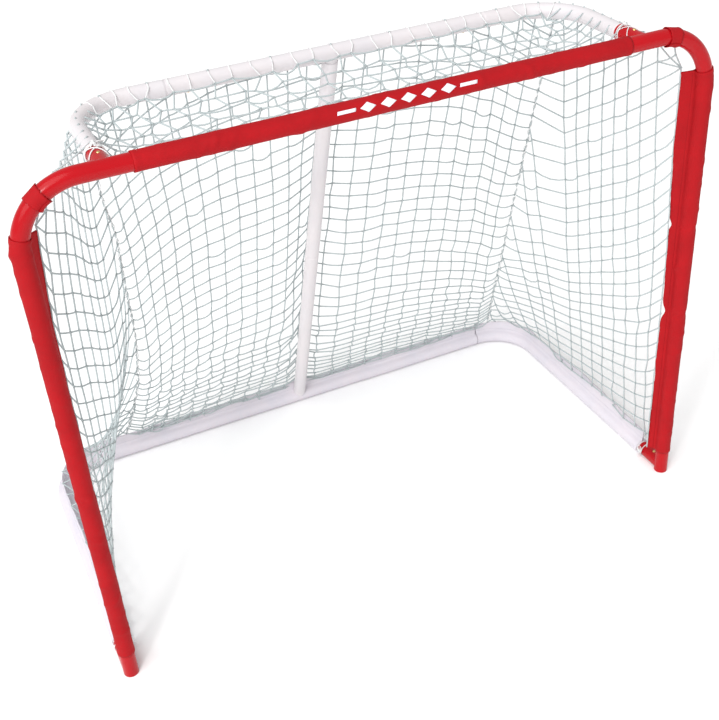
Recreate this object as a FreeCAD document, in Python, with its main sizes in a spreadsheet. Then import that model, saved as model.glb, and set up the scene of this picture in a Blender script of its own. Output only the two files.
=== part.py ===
import FreeCAD, Part
import Sketcher
import os

# Street hockey goal: a push-fit steel tube frame with fabric sleeves and a netting cage.
# Units are millimetres. +X is to the right seen from the mouth, +Y runs from the mouth to the
# back of the cage and +Z is up. The origin is on the floor under the middle of the whole goal.

doc = FreeCAD.newDocument("hockey_goal")

DIMENSIONS = (
    ("goal_width", 1372.0, "outside width of the bare front frame (54 in)"),
    ("goal_height", 1115.9, "floor to the top of the bare crossbar (44 in)"),
    ("tube_diameter", 31.8, "outside diameter of every frame tube (1 1/4 in)"),
    ("tube_wall", 1.2, "wall of every frame tube"),
    ("fit_clearance", 0.1, "radial play of a swaged end in the next tube"),
    ("front_bend_radius", 114.0, "centreline radius of the two upper front corners"),
    ("elbow_split_height", 900.0, "height at which an elbow enters its post"),
    ("crossbar_half_length", 430.0, "middle of the goal to each end of the crossbar tube"),
    ("stub_length", 72.0, "front tube axis to the end of a welded stub"),
    ("top_half_width", 514.0, "middle of the goal to the axis of a top side tube"),
    ("top_depth", 286.0, "goal line to the axis of the top rear tube"),
    ("top_bend_radius", 114.0, "centreline radius of the top rear corners"),
    ("top_rear_half_length", 330.0, "middle of the goal to each end of the top rear tube"),
    ("base_depth", 712.0, "goal line to the axis of the base rear tube"),
    ("base_axis_height", 18.3, "floor to the axis of the base tubes"),
    ("base_bend_radius", 118.0, "centreline radius of the base rear corners"),
    ("seam_foot_angle", 72.0, "turn along a base corner from its side to the corner seam's foot, in degrees"),
    ("base_rear_half_length", 430.0, "middle of the goal to each end of the base rear tube"),
    ("swage_length", 4.0, "taper between full tube and swaged end"),
    ("shoulder_gap", 0.5, "end of the taper to the end of the next tube"),
    ("spigot_length", 54.0, "length of a swaged end inside the next tube"),
    ("post_end_distance", 17.0, "tube axis to the end of the centre post"),
    ("button_inset", 42.0, "end of the outer tube to the axis of its snap button"),
    ("button_diameter", 7.0, "snap button"),
    ("button_hole_diameter", 7.6, "hole for a snap button in both tubes"),
    ("button_height", 17.5, "tube axis to the top of a snap button"),
    ("button_base", 8.9, "tube axis to the underside of a snap button"),
    ("button_rounding", 2.5, "rounding of the head of a snap button"),
    ("spring_thickness", 0.8, "leaf of a snap spring"),
    ("spring_width", 9.0, "width of a snap spring's leaf"),
    ("spring_upper_leg", 8.6, "tube axis to the outer face of the leg under the button"),
    ("spring_lower_leg", 12.4, "tube axis to the outer face of the resting leg"),
    ("spring_leg_length", 32.0, "straight part of both legs"),
    ("spring_start", 18.0, "end of the outer tube to the start of the straight legs"),
    ("plug_flange", 2.0, "thickness of the part of a foot plug below the tube"),
    ("plug_length", 20.0, "length of a foot plug inside the post"),
    ("plug_rounding", 1.4, "rounding of the lower edge of a foot plug"),
    ("plug_clearance", 0.3, "play of a foot plug in its post, on the radius"),
    ("seam_gap", 1.0, "gap between the white sleeves, and round the centre post"),
    ("sleeve_bore", 35.6, "inside diameter of every fabric sleeve"),
    ("sleeve_diameter", 37.2, "outside diameter of the red fabric sleeves"),
    ("base_sleeve_diameter", 36.6, "outside diameter of the white fabric sleeves"),
    ("crossbar_sleeve_left", 470.0, "middle of the goal to the left end of the crossbar sleeve"),
    ("crossbar_sleeve_right", 480.0, "middle of the goal to the right end of the sleeve"),
    ("post_sleeve_bottom", 62.0, "floor to the lower end of a post sleeve"),
    ("post_sleeve_top", 1018.0, "floor to the upper end of a post sleeve"),
    ("flap_thickness", 1.6, "doubled fabric of a sleeve's flap"),
    ("flap_reach", 46.0, "tube axis to the edge of a post or base sleeve's flap"),
    ("flap_angle", 37.0, "angle from the goal plane to a post sleeve's flap"),
    ("bar_flap_reach", 40.0, "tube axis to the edge of the crossbar sleeve's flap"),
    ("bar_flap_droop", 20.0, "angle of the crossbar sleeve's flap below level"),
    ("strap_bore", 32.4, "inside diameter of a corner strap"),
    ("strap_diameter", 35.0, "outside diameter of a corner strap"),
    ("strap_span", 13.0, "part of the bend that a corner strap covers, in degrees"),
    ("left_strap_angle", 46.0, "level to the lower edge of the left strap, in degrees"),
    ("right_strap_angle", 72.0, "level to the lower edge of the right strap, in degrees"),
    ("net_thickness", 1.5, "thickness that stands for the knotted netting"),
    ("net_bottom", 66.0, "floor to the lower edge of the netting"),
    ("net_top_front_half", 482.0, "half width of the top netting behind the crossbar"),
    ("net_top_rear_half", 416.0, "half width of the top netting at the rear tube"),
    ("net_back_top_half", 478.0, "half width of the back netting at its upper edge"),
    ("net_back_bottom_half", 575.0, "half width of the back netting at its lower edge"),
    ("net_back_clearance", 20.0, "top rear axis to the back netting"),
    ("net_side_gap", 4.0, "flap edge to the side netting, and the netting's distance from a tube"),
    ("net_foot_gap", 2.0, "base rear axis to the foot of the back netting"),
    ("net_corner_inset", 4.0, "base axis to the foot of the rear corner seam, inwards"),
    ("cord_diameter", 3.0, "lacing cords"),
    ("lacing_offset", 4.2, "corner seam to the axis of its lacing, outwards"),
    ("tie_diameter", 2.0, "tie cords on the stubs"),
    ("tie_position", 60.0, "goal line to a tie cord on a stub"),
)

sheet = doc.addObject("Spreadsheet::Sheet", "dims")
for row, (alias, size, note) in enumerate(DIMENSIONS, start=1):
    sheet.set(f"A{row}", note)
    sheet.set(f"B{row}", str(size))
    sheet.setAlias(f"B{row}", alias)
doc.recompute()

# Places and sizes worked out from the sheet, as expressions.
TUBE = "(dims.tube_diameter / 2)"
BORE = f"({TUBE} - dims.tube_wall)"
SPIGOT = f"({BORE} - dims.fit_clearance)"
SPIGOT_BORE = f"({SPIGOT} - dims.tube_wall)"
SLEEVE = "(dims.sleeve_diameter / 2)"
SLEEVE_BORE = "(dims.sleeve_bore / 2)"
BASE_SLEEVE = "(dims.base_sleeve_diameter / 2)"
CORD = "(dims.cord_diameter / 2)"
TIE = "(dims.tie_diameter / 2)"
POST_X = f"(dims.goal_width / 2 - {TUBE})"
BAR_Z = f"(dims.goal_height - {TUBE})"
BASE_Z = "dims.base_axis_height"
# The goal line's place puts the middle of the whole depth, sleeves included, at the origin.
LINE_Y = f"(({SLEEVE} - {BASE_SLEEVE} - dims.base_depth) / 2)"
TOP_REAR_Y = f"({LINE_Y} + dims.top_depth)"
BASE_REAR_Y = f"({LINE_Y} + dims.base_depth)"
STUB_Y = f"({LINE_Y} + dims.stub_length)"
TILT = f"atan((dims.base_depth - dims.top_depth) / ({BAR_Z} - {BASE_Z}))"
POST_LENGTH = f"hypot(dims.base_depth - dims.top_depth; {BAR_Z} - {BASE_Z})"
TAPER = "(dims.swage_length + dims.shoulder_gap)"
# How far a hollow runs past the solid that it cuts.
OVERCUT = "2"
# The same at the open end of a bend.
BEND_OVERCUT = "5 deg"
# How far a solid reaches into the one that it is joined to.
OVERLAP = "1"
# The wide bore stops this far from a taper, and the narrow bore of the swaged end runs into it.
BORE_STEP = "4"
# The bore of a welded stub starts this far outside the tube that carries it.
WELD_GAP = "0.3"
# A button hole runs this far from the tube's axis, through one wall only.
HOLE_REACH = "20"

X_AXIS = FreeCAD.Vector(1, 0, 0)
Y_AXIS = FreeCAD.Vector(0, 1, 0)
Z_AXIS = FreeCAD.Vector(0, 0, 1)

# A heading is the turn that takes +Z to it (axis and angle) and its three components.
HEADINGS = {
    "right": (Y_AXIS, "90", ("1", "0", "0")),
    "left": (Y_AXIS, "-90", ("-1", "0", "0")),
    "back": (X_AXIS, "-90", ("0", "1", "0")),
    "front": (X_AXIS, "90", ("0", "-1", "0")),
    "up": (X_AXIS, "0", ("0", "0", "1")),
    "down": (X_AXIS, "180", ("0", "0", "-1")),
    "post_up": (X_AXIS, TILT, ("0", f"-sin({TILT})", f"cos({TILT})")),
    "post_down": (X_AXIS, f"180 deg + {TILT}", ("0", f"sin({TILT})", f"-cos({TILT})")),
}


def number(expression):
    """The plain number that an expression on the sheet gives."""
    return float(sheet.evalExpression(expression))


def along(point, heading, distance):
    """The point at a distance from another one, along a heading."""
    parts = HEADINGS[heading][2]
    return tuple(c if p == "0" else f"{c} + ({distance}) * ({p})" for c, p in zip(point, parts))


def bind(item, **expressions):
    """Tie properties of an object to the sheet."""
    for name, expression in expressions.items():
        item.setExpression(name, expression)


def settle(item, point):
    """Tie the place of an object to the sheet."""
    for letter, expression in zip("xyz", point):
        item.setExpression(f"Placement.Base.{letter}", expression)


def turn(item, heading):
    """Turn an object so that its own +Z lies along a heading."""
    axis, angle, _ = HEADINGS[heading]
    item.Placement = FreeCAD.Placement(FreeCAD.Vector(), FreeCAD.Rotation(axis, number(angle)))
    if "dims" in angle:
        item.setExpression("Placement.Rotation.Angle", angle)


def rod(name, radius, start, heading, length):
    """A round bar from a point along a heading."""
    item = doc.addObject("Part::Cylinder", name)
    bind(item, Radius=radius, Height=length)
    turn(item, heading)
    settle(item, start)
    return item


def taper(name, start, heading):
    """The cone between a full tube and its swaged end."""
    item = doc.addObject("Part::Cone", name)
    bind(item, Radius1=TUBE, Radius2=SPIGOT, Height="dims.swage_length")
    turn(item, heading)
    settle(item, start)
    return item


def block(name, corner, length, width, height, axis=Z_AXIS, angle="0"):
    """A box from a corner, turned about one of the frame's axes."""
    item = doc.addObject("Part::Box", name)
    bind(item, Length=length, Width=width, Height=height)
    item.Placement = FreeCAD.Placement(FreeCAD.Vector(), FreeCAD.Rotation(axis, number(angle)))
    if "dims" in angle:
        item.setExpression("Placement.Rotation.Angle", angle)
    settle(item, corner)
    return item


def bend(name, pipe_radius, bend_radius, centre, first, last, span="90"):
    """Part of a ring that starts in direction first and turns towards direction last."""
    item = doc.addObject("Part::Torus", name)
    bind(item, Radius1=bend_radius, Radius2=pipe_radius, Angle3=span)
    item.Placement.Rotation = FreeCAD.Rotation(first, last, first.cross(last), "ZXY")
    settle(item, centre)
    return item


def joined(name, pieces):
    """One solid from several that meet."""
    if len(pieces) == 1:
        return pieces[0]
    item = doc.addObject("Part::MultiFuse", name)
    item.Shapes = pieces
    return item


def less(name, solid, hollow):
    """What is left of one solid outside another."""
    item = doc.addObject("Part::Cut", name)
    item.Base = solid
    item.Tool = hollow
    return item


def node(name, solids, hollows):
    """A sub-part: solids joined, less the hollows."""
    if hollows:
        item = less(name, joined(f"{name}_solid", solids), joined(f"{name}_hollow", hollows))
    else:
        item = joined(name, solids)
    item.Label = name
    return item


def mirrored(name, source):
    """The right-hand twin of a left-hand sub-part."""
    item = doc.addObject("Part::Mirroring", name)
    item.Source = source
    item.Normal = X_AXIS
    item.Label = name
    return item


# Push-fit joints: the end of the outer tube, the way the swaged end goes in, and the way the
# button points. Those beside the middle exist on both sides of the goal.
SIDE_JOINTS = {
    "post": ((POST_X, LINE_Y, "dims.elbow_split_height"), "down", "back"),
    "crossbar": (("dims.crossbar_half_length", LINE_Y, BAR_Z), "right", "back"),
    "top": (("dims.top_half_width", STUB_Y, BAR_Z), "front", "up"),
    "base": ((POST_X, STUB_Y, BASE_Z), "front", "up"),
    "top_rear": (("dims.top_rear_half_length", TOP_REAR_Y, BAR_Z), "right", "down"),
    "base_rear": (("dims.base_rear_half_length", BASE_REAR_Y, BASE_Z), "right", "front"),
}
OPPOSITE = {"left": "right", "right": "left"}
POST_HEAD = ("0", TOP_REAR_Y, BAR_Z)
POST_FOOT = ("0", BASE_REAR_Y, BASE_Z)

joints = {}
for joint, ((across, deep, high), heading, push) in SIDE_JOINTS.items():
    joints[f"{joint}_left"] = ((f"-({across})", deep, high), heading, push)
    joints[f"{joint}_right"] = ((across, deep, high), OPPOSITE.get(heading, heading), push)
joints["centre_top"] = (along(POST_HEAD, "post_down", "dims.post_end_distance"), "post_down", "right")
joints["centre_middle"] = (along(POST_HEAD, "post_down", f"{POST_LENGTH} / 2"), "post_up", "right")
joints["centre_bottom"] = (along(POST_FOOT, "post_up", "dims.post_end_distance"), "post_up", "right")


def button_place(joint):
    """The point on the tube's axis under a joint's snap button."""
    face, heading, _ = joints[joint]
    return along(face, heading, "dims.button_inset")


def button_hole(name, joint):
    """The hole for a joint's snap button, through one wall."""
    push = joints[joint][2]
    return rod(name, "dims.button_hole_diameter / 2", button_place(joint), push, HOLE_REACH)


def spigot(name, joint):
    """The swaged end at a joint: its solids and its hollows."""
    face, heading, _ = joints[joint]
    shoulder = along(face, heading, f"-{TAPER}")
    reach = f"{TAPER} + dims.spigot_length"
    solids = [
        taper(f"{name}_taper", shoulder, heading),
        rod(
            f"{name}_spigot",
            SPIGOT,
            along(shoulder, heading, OVERLAP),
            heading,
            f"{reach} - {OVERLAP}",
        ),
    ]
    run_in = f"({BORE_STEP} + {OVERLAP})"
    inner = along(shoulder, heading, f"-{run_in}")
    hollows = [
        rod(f"{name}_spigot_bore", SPIGOT_BORE, inner, heading, f"{reach} + {run_in} + {OVERCUT}"),
        button_hole(f"{name}_hole", joint),
    ]
    return solids, hollows


def full_tube(name, start, heading, length, trim_start="0", trim_end="0"):
    """A straight full-diameter run, and its bore less what is trimmed at its ends."""
    solid = rod(f"{name}_run", TUBE, start, heading, length)
    bore_start = along(start, heading, trim_start)
    bore_length = f"{length} - ({trim_start}) - ({trim_end})"
    bore = rod(f"{name}_bore", BORE, bore_start, heading, bore_length)
    return [solid], [bore]


def disc_pad(body, name, radius, length, height):
    """A round pad on a body's own XY plane, lifted to a height."""
    planes = {item.Role: item for item in body.Origin.OriginFeatures}
    sketch = body.newObject("Sketcher::SketchObject", f"{name}_sketch")
    sketch.AttachmentSupport = (planes["XY_Plane"], [""])
    sketch.MapMode = "FlatFace"
    sketch.setExpression("AttachmentOffset.Base.z", height)
    ring = sketch.addGeometry(Part.Circle(FreeCAD.Vector(), Z_AXIS, number(radius)))
    sketch.addConstraint(Sketcher.Constraint("Coincident", ring, 3, -1, 1))
    size = sketch.addConstraint(Sketcher.Constraint("Radius", ring, number(radius)))
    sketch.renameConstraint(size, "size")
    sketch.setExpression("Constraints.size", radius)
    pad = body.newObject("PartDesign::Pad", name)
    pad.Profile = sketch
    pad.setExpression("Length", length)
    doc.recompute()
    return pad


def round_edge(body, name, height, radius):
    """Round the circular edges that lie at a height of a body."""
    tip = body.Tip
    names = []
    for index, edge in enumerate(tip.Shape.Edges, start=1):
        low, high = edge.BoundBox.ZMin, edge.BoundBox.ZMax
        if abs(low - height) < 0.01 and abs(high - height) < 0.01:
            names.append(f"Edge{index}")
    fillet = body.newObject("PartDesign::Fillet", name)
    fillet.Base = (tip, names)
    fillet.setExpression("Radius", radius)
    doc.recompute()
    return fillet


# ---- front frame -------------------------------------------------------------------------


def post():
    """A straight post with the stub for the base welded on behind its foot."""
    foot = (f"-{POST_X}", LINE_Y, "dims.plug_flange")
    length = "dims.elbow_split_height - dims.plug_flange"
    solids = [rod("post_run", TUBE, foot, "up", length)]
    bore_start = along(foot, "down", OVERCUT)
    hollows = [rod("post_bore", BORE, bore_start, "up", f"{length} + 2 * {OVERCUT}")]
    axis_point = (f"-{POST_X}", LINE_Y, BASE_Z)
    solids.append(rod("post_stub", TUBE, axis_point, "back", "dims.stub_length"))
    stub_bore = along(axis_point, "back", f"{TUBE} + {WELD_GAP}")
    hollows.append(rod("post_stub_bore", BORE, stub_bore, "back", "dims.stub_length"))
    hollows.append(button_hole("post_upper_hole", "post_left"))
    hollows.append(button_hole("post_stub_hole", "base_left"))
    return node("post_left", solids, hollows)


def elbow():
    """An upper front corner: leg, bend and arm, with the stub for the top frame welded on."""
    leg_face, _, _ = joints["post_left"]
    arm_face, _, _ = joints["crossbar_left"]
    leg_start = along(leg_face, "up", TAPER)
    leg_length = f"{BAR_Z} - dims.front_bend_radius - dims.elbow_split_height - {TAPER}"
    arm_start = (f"-({POST_X} - dims.front_bend_radius)", LINE_Y, BAR_Z)
    arm_length = f"{POST_X} - dims.front_bend_radius - dims.crossbar_half_length - {TAPER}"
    centre = (arm_start[0], LINE_Y, f"{BAR_Z} - dims.front_bend_radius")
    solids, hollows = full_tube("elbow_leg", leg_start, "up", leg_length, trim_start=BORE_STEP)
    radius = "dims.front_bend_radius"
    solids.append(bend("elbow_bend_solid", TUBE, radius, centre, -X_AXIS, Z_AXIS))
    hollows.append(bend("elbow_bend_bore", BORE, radius, centre, -X_AXIS, Z_AXIS))
    arm = full_tube("elbow_arm", arm_start, "right", arm_length, trim_end=BORE_STEP)
    # The seam line of this cylinder lies at the front, clear of the welded stub.
    arm[0][0].Placement.Rotation = FreeCAD.Rotation(-Y_AXIS, -Z_AXIS, X_AXIS, "ZXY")
    solids += arm[0]
    hollows += arm[1]
    for name, joint in (("elbow_lower", "post_left"), ("elbow_inner", "crossbar_left")):
        more_solids, more_hollows = spigot(name, joint)
        solids += more_solids
        hollows += more_hollows
    stub_axis = ("-dims.top_half_width", LINE_Y, BAR_Z)
    solids.append(rod("elbow_stub", TUBE, stub_axis, "back", "dims.stub_length"))
    stub_bore = along(stub_axis, "back", f"{TUBE} + {WELD_GAP}")
    hollows.append(rod("elbow_stub_bore", BORE, stub_bore, "back", "dims.stub_length"))
    hollows.append(button_hole("elbow_stub_hole", "top_left"))
    return node("elbow_left", solids, hollows)


def plain_tube(name, start, heading, length, hole_joints):
    """A straight tube, open at both ends, with button holes for the joints that it takes."""
    solid = rod(f"{name}_run", TUBE, start, heading, length)
    bore_start = along(start, heading, f"-{OVERCUT}")
    hollows = [rod(f"{name}_bore", BORE, bore_start, heading, f"{length} + 2 * {OVERCUT}")]
    for joint in hole_joints:
        hollows.append(button_hole(f"{name}_{joint}_hole", joint))
    return [solid], hollows


def crossbar():
    """The straight tube between the two elbows."""
    start = ("-dims.crossbar_half_length", LINE_Y, BAR_Z)
    length = "2 * dims.crossbar_half_length"
    holes = ["crossbar_left", "crossbar_right"]
    return node("crossbar", *plain_tube("crossbar_tube", start, "right", length, holes))


def foot_plug():
    """The plastic plug that closes a post's lower end."""
    body = doc.addObject("PartDesign::Body", "foot_plug_left")
    disc_pad(body, "plug_flange", TUBE, "dims.plug_flange", "0")
    shank_length = f"dims.plug_length + {OVERLAP}"
    shank_radius = f"({BORE} - dims.plug_clearance)"
    disc_pad(body, "plug_shank", shank_radius, shank_length, f"dims.plug_flange - {OVERLAP}")
    round_edge(body, "plug_rounding", 0.0, "dims.plug_rounding")
    settle(body, (f"-{POST_X}", LINE_Y, "0"))
    body.Label = "foot_plug_left"
    return body


# ---- top frame ---------------------------------------------------------------------------


def swaged_run(name, start, heading, length, joint, trim_start="0", trim_end="0"):
    """A straight run of bent tube with the swaged end at a joint, already hollow."""
    solids, hollows = full_tube(name, start, heading, length, trim_start, trim_end)
    more_solids, more_hollows = spigot(name, joint)
    solid = joined(f"{name}_solid", solids + more_solids)
    return less(name, solid, joined(f"{name}_hollow", hollows + more_hollows))


def corner_tube(name, joint, half_width, rear_y, z, bend_radius, depth, half_rear):
    """A tube from a welded stub back along one side, round the corner and into the rear tube."""
    start = along(joints[f"{joint}_left"][0], "back", TAPER)
    side_length = f"{depth} - {bend_radius} - dims.stub_length - {TAPER}"
    centre = (f"-({half_width} - {bend_radius})", f"{rear_y} - {bend_radius}", z)
    rear_start = (centre[0], rear_y, z)
    rear_length = f"{half_width} - {bend_radius} - {half_rear} - {TAPER}"
    side_joint = f"{joint}_left"
    rear_joint = f"{joint}_rear_left"
    side = swaged_run(f"{name}_side", start, "back", side_length, side_joint, trim_start=BORE_STEP)
    back = swaged_run(f"{name}_back", rear_start, "right", rear_length, rear_joint, trim_end=BORE_STEP)
    turn_solid = bend(f"{name}_bend_solid", TUBE, bend_radius, centre, -X_AXIS, Y_AXIS)
    turn_bore = bend(f"{name}_bend_bore", BORE, bend_radius, centre, -X_AXIS, Y_AXIS)
    return node(f"{name}_left", [side, less(f"{name}_bend", turn_solid, turn_bore), back], [])


def top_corner():
    """A side of the top frame."""
    half_rear = "dims.top_rear_half_length"
    sizes = ("dims.top_half_width", TOP_REAR_Y, BAR_Z, "dims.top_bend_radius", "dims.top_depth", half_rear)
    return corner_tube("top_corner", "top", *sizes)


def rear_tube(name, joint, y, z, post_heading, post_joint):
    """A rear tube, with the swaged stub for the centre post welded on at its middle."""
    half_length = f"dims.{joint}_half_length"
    start = (f"-{half_length}", y, z)
    length = f"2 * {half_length}"
    holes = [f"{joint}_left", f"{joint}_right"]
    solids, hollows = plain_tube(name, start, "right", length, holes)
    axis_point = ("0", y, z)
    reach = "dims.post_end_distance + dims.spigot_length"
    solids.append(rod(f"{name}_stub", SPIGOT, axis_point, post_heading, reach))
    bore_start = along(axis_point, post_heading, f"{TUBE} + {WELD_GAP}")
    hollows.append(rod(f"{name}_stub_bore", SPIGOT_BORE, bore_start, post_heading, reach))
    hollows.append(button_hole(f"{name}_stub_hole", post_joint))
    return node(name, solids, hollows)


def centre_post_upper():
    """The upper half of the post in the middle of the back."""
    face, _, _ = joints["centre_top"]
    length = f"{POST_LENGTH} / 2 - dims.post_end_distance"
    holes = ["centre_top", "centre_middle"]
    return node("centre_post_upper", *plain_tube("centre_upper", face, "post_down", length, holes))


def centre_post_lower():
    """The lower half of the centre post, swaged at its upper end."""
    face, _, _ = joints["centre_bottom"]
    length = f"{POST_LENGTH} / 2 - dims.post_end_distance - {TAPER}"
    solids = [rod("centre_lower_run", TUBE, face, "post_up", length)]
    bore_start = along(face, "post_up", f"-{OVERCUT}")
    bore_length = f"{length} + {OVERCUT} - {BORE_STEP}"
    hollows = [rod("centre_lower_bore", BORE, bore_start, "post_up", bore_length)]
    hollows.append(button_hole("centre_lower_hole", "centre_bottom"))
    more_solids, more_hollows = spigot("centre_lower", "centre_middle")
    return node("centre_post_lower", solids + more_solids, hollows + more_hollows)


# ---- base frame --------------------------------------------------------------------------


def base_side():
    """A side of the base frame, which lies on the floor."""
    half_rear = "dims.base_rear_half_length"
    sizes = (POST_X, BASE_REAR_Y, BASE_Z, "dims.base_bend_radius", "dims.base_depth", half_rear)
    return corner_tube("base_side", "base", *sizes)


# ---- snap buttons and their springs ------------------------------------------------------


def snap_button(joint):
    """A domed button that stands in the holes of both tubes."""
    name = f"button_{joint}"
    body = doc.addObject("PartDesign::Body", name)
    height = "dims.button_height - dims.button_base"
    disc_pad(body, f"{name}_pad", "dims.button_diameter / 2", height, "dims.button_base")
    round_edge(body, f"{name}_head", number("dims.button_height"), "dims.button_rounding")
    turn(body, joints[joint][2])
    settle(body, button_place(joint))
    body.Label = name
    return body


def spring_shape():
    """A U-shaped leaf spring: legs along +X, its button side towards +Z, the joint's face at X=0."""
    half_width = "dims.spring_width / 2"
    start = "dims.spring_start"
    upper = block(
        "spring_upper",
        (start, f"-{half_width}", "dims.spring_upper_leg - dims.spring_thickness"),
        "dims.spring_leg_length",
        "dims.spring_width",
        "dims.spring_thickness",
    )
    lower = block(
        "spring_lower",
        (start, f"-{half_width}", "-dims.spring_lower_leg"),
        "dims.spring_leg_length",
        "dims.spring_width",
        "dims.spring_thickness",
    )
    middle = (start, half_width, "(dims.spring_upper_leg - dims.spring_lower_leg) / 2")
    radius = "(dims.spring_upper_leg + dims.spring_lower_leg) / 2"
    outer = rod("spring_bend", radius, middle, "front", "dims.spring_width")
    inner_start = along(middle, "back", OVERCUT)
    inner_length = f"dims.spring_width + 2 * {OVERCUT}"
    inner_radius = f"{radius} - dims.spring_thickness"
    inner = rod("spring_bend_inside", inner_radius, inner_start, "front", inner_length)
    ring = less("spring_ring", outer, inner)
    side = "dims.tube_diameter"
    corner = (start, f"-{side} / 2", f"-{side} / 2")
    far_half = block("spring_far_half", corner, side, side, side)
    half_ring = less("spring_half_ring", ring, far_half)
    return joined("spring_shape", [upper, lower, half_ring])


def snap_springs():
    """One spring inside the swaged end at every joint."""
    shape = spring_shape()
    springs = []
    for joint, (face, heading, push) in joints.items():
        forward = FreeCAD.Vector(*[number(part) for part in HEADINGS[heading][2]])
        upward = FreeCAD.Vector(*[number(part) for part in HEADINGS[push][2]])
        spring = doc.addObject("App::Link", f"spring_{joint}")
        spring.LinkedObject = shape
        spring.LinkPlacement = FreeCAD.Placement(
            FreeCAD.Vector(*[number(part) for part in face]),
            FreeCAD.Rotation(forward, upward.cross(forward), upward, "XZY"),
        )
        springs.append(spring)
    group = doc.addObject("Part::Compound", "snap_springs")
    group.Links = springs
    group.Label = "snap_springs"
    return group


# ---- fabric sleeves and straps -----------------------------------------------------------


def crossbar_sleeve():
    """The red sleeve of the crossbar, with the flap that the top netting is sewn to."""
    start = ("-dims.crossbar_sleeve_left", LINE_Y, BAR_Z)
    length = "dims.crossbar_sleeve_left + dims.crossbar_sleeve_right"
    tube = rod("crossbar_sleeve_tube", SLEEVE, start, "right", length)
    flap = block(
        "crossbar_sleeve_flap",
        start,
        length,
        "dims.bar_flap_reach",
        "dims.flap_thickness",
        X_AXIS,
        "-dims.bar_flap_droop",
    )
    bore_start = along(start, "left", OVERCUT)
    bore = rod("crossbar_sleeve_bore", SLEEVE_BORE, bore_start, "right", f"{length} + 2 * {OVERCUT}")
    return node("crossbar_sleeve", [tube, flap], [bore])


def post_sleeve():
    """The red sleeve of a post, with the flap that the side netting is sewn to."""
    start = (f"-{POST_X}", LINE_Y, "dims.post_sleeve_bottom")
    length = "dims.post_sleeve_top - dims.post_sleeve_bottom"
    bend_radius = "dims.front_bend_radius"
    bend_start = f"({BAR_Z} - {bend_radius})"
    centre = (f"-({POST_X} - {bend_radius})", LINE_Y, bend_start)
    span = f"asin((dims.post_sleeve_top - {bend_start}) / {bend_radius})"
    straight = f"{bend_start} - dims.post_sleeve_bottom"
    tube = rod("post_sleeve_tube", SLEEVE, start, "up", straight)
    top = bend("post_sleeve_top", SLEEVE, bend_radius, centre, -X_AXIS, Z_AXIS, span)
    flap = block(
        "post_sleeve_flap",
        start,
        "dims.flap_reach",
        "dims.flap_thickness",
        length,
        Z_AXIS,
        "dims.flap_angle",
    )
    bore_start = along(start, "down", OVERCUT)
    bore = rod("post_sleeve_bore", SLEEVE_BORE, bore_start, "up", f"{straight} + {OVERCUT}")
    top_span = f"{span} + {BEND_OVERCUT}"
    ring = (bend_radius, centre, -X_AXIS, Z_AXIS)
    top_bore = bend("post_sleeve_top_bore", SLEEVE_BORE, *ring, top_span)
    return node("post_sleeve_left", [tube, top, flap], [bore, top_bore])


def corner_strap(side, sign, angle):
    """A short red band round an upper front bend."""
    centre = (f"{sign}({POST_X} - dims.front_bend_radius)", LINE_Y, f"{BAR_Z} - dims.front_bend_radius")
    outwards = X_AXIS * float(f"{sign}1")
    turned = FreeCAD.Rotation(outwards.cross(Z_AXIS), number(angle))
    first = turned.multVec(outwards)
    last = turned.multVec(Z_AXIS)
    radius = "dims.front_bend_radius"
    span = "dims.strap_span"
    band = bend(f"strap_{side}_band", "dims.strap_diameter / 2", radius, centre, first, last, span)
    bore = bend(f"strap_{side}_bore", "dims.strap_bore / 2", radius, centre, first, last, span)
    return node(f"corner_strap_{side}", [band], [bore])


def base_sleeve_side():
    """The white sleeve of a base side and its corner, with a flap that stands up."""
    front = along(joints["base_left"][0], "back", "dims.swage_length")
    run = "dims.base_depth - dims.base_bend_radius - dims.stub_length - dims.swage_length"
    bend_radius = "dims.base_bend_radius"
    centre = (f"-({POST_X} - {bend_radius})", f"{BASE_REAR_Y} - {bend_radius}", BASE_Z)
    straight = less(
        "base_sleeve_straight",
        rod("base_sleeve_run", BASE_SLEEVE, front, "back", run),
        rod("base_sleeve_run_bore", SLEEVE_BORE, front, "back", run),
    )
    curved = less(
        "base_sleeve_curve",
        bend("base_sleeve_bend", BASE_SLEEVE, bend_radius, centre, -X_AXIS, Y_AXIS),
        bend("base_sleeve_bend_bore", SLEEVE_BORE, bend_radius, centre, -X_AXIS, Y_AXIS),
    )
    half_flap = "dims.flap_thickness / 2"
    # The flap grows out of the middle of the sleeve's wall.
    root = f"({BASE_SLEEVE} + {SLEEVE_BORE}) / 2"
    height = f"dims.flap_reach - {root}"
    flap_corner = (f"-{POST_X} - {half_flap}", front[1], f"{BASE_Z} + {root}")
    flap = block("base_sleeve_flap", flap_corner, "dims.flap_thickness", run, height)
    flap_centre = along(centre, "up", root)
    outer = rod("flap_outer", f"{bend_radius} + {half_flap}", flap_centre, "up", height)
    inner = rod("flap_inner", f"{bend_radius} - {half_flap}", flap_centre, "up", height)
    for quarter in (outer, inner):
        quarter.Placement.Rotation = FreeCAD.Rotation(Z_AXIS, 90)
        quarter.Angle = 90
    curved_flap = less("base_sleeve_curved_flap", outer, inner)
    return node("base_sleeve_left", [straight, curved, flap, curved_flap], [])


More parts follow.
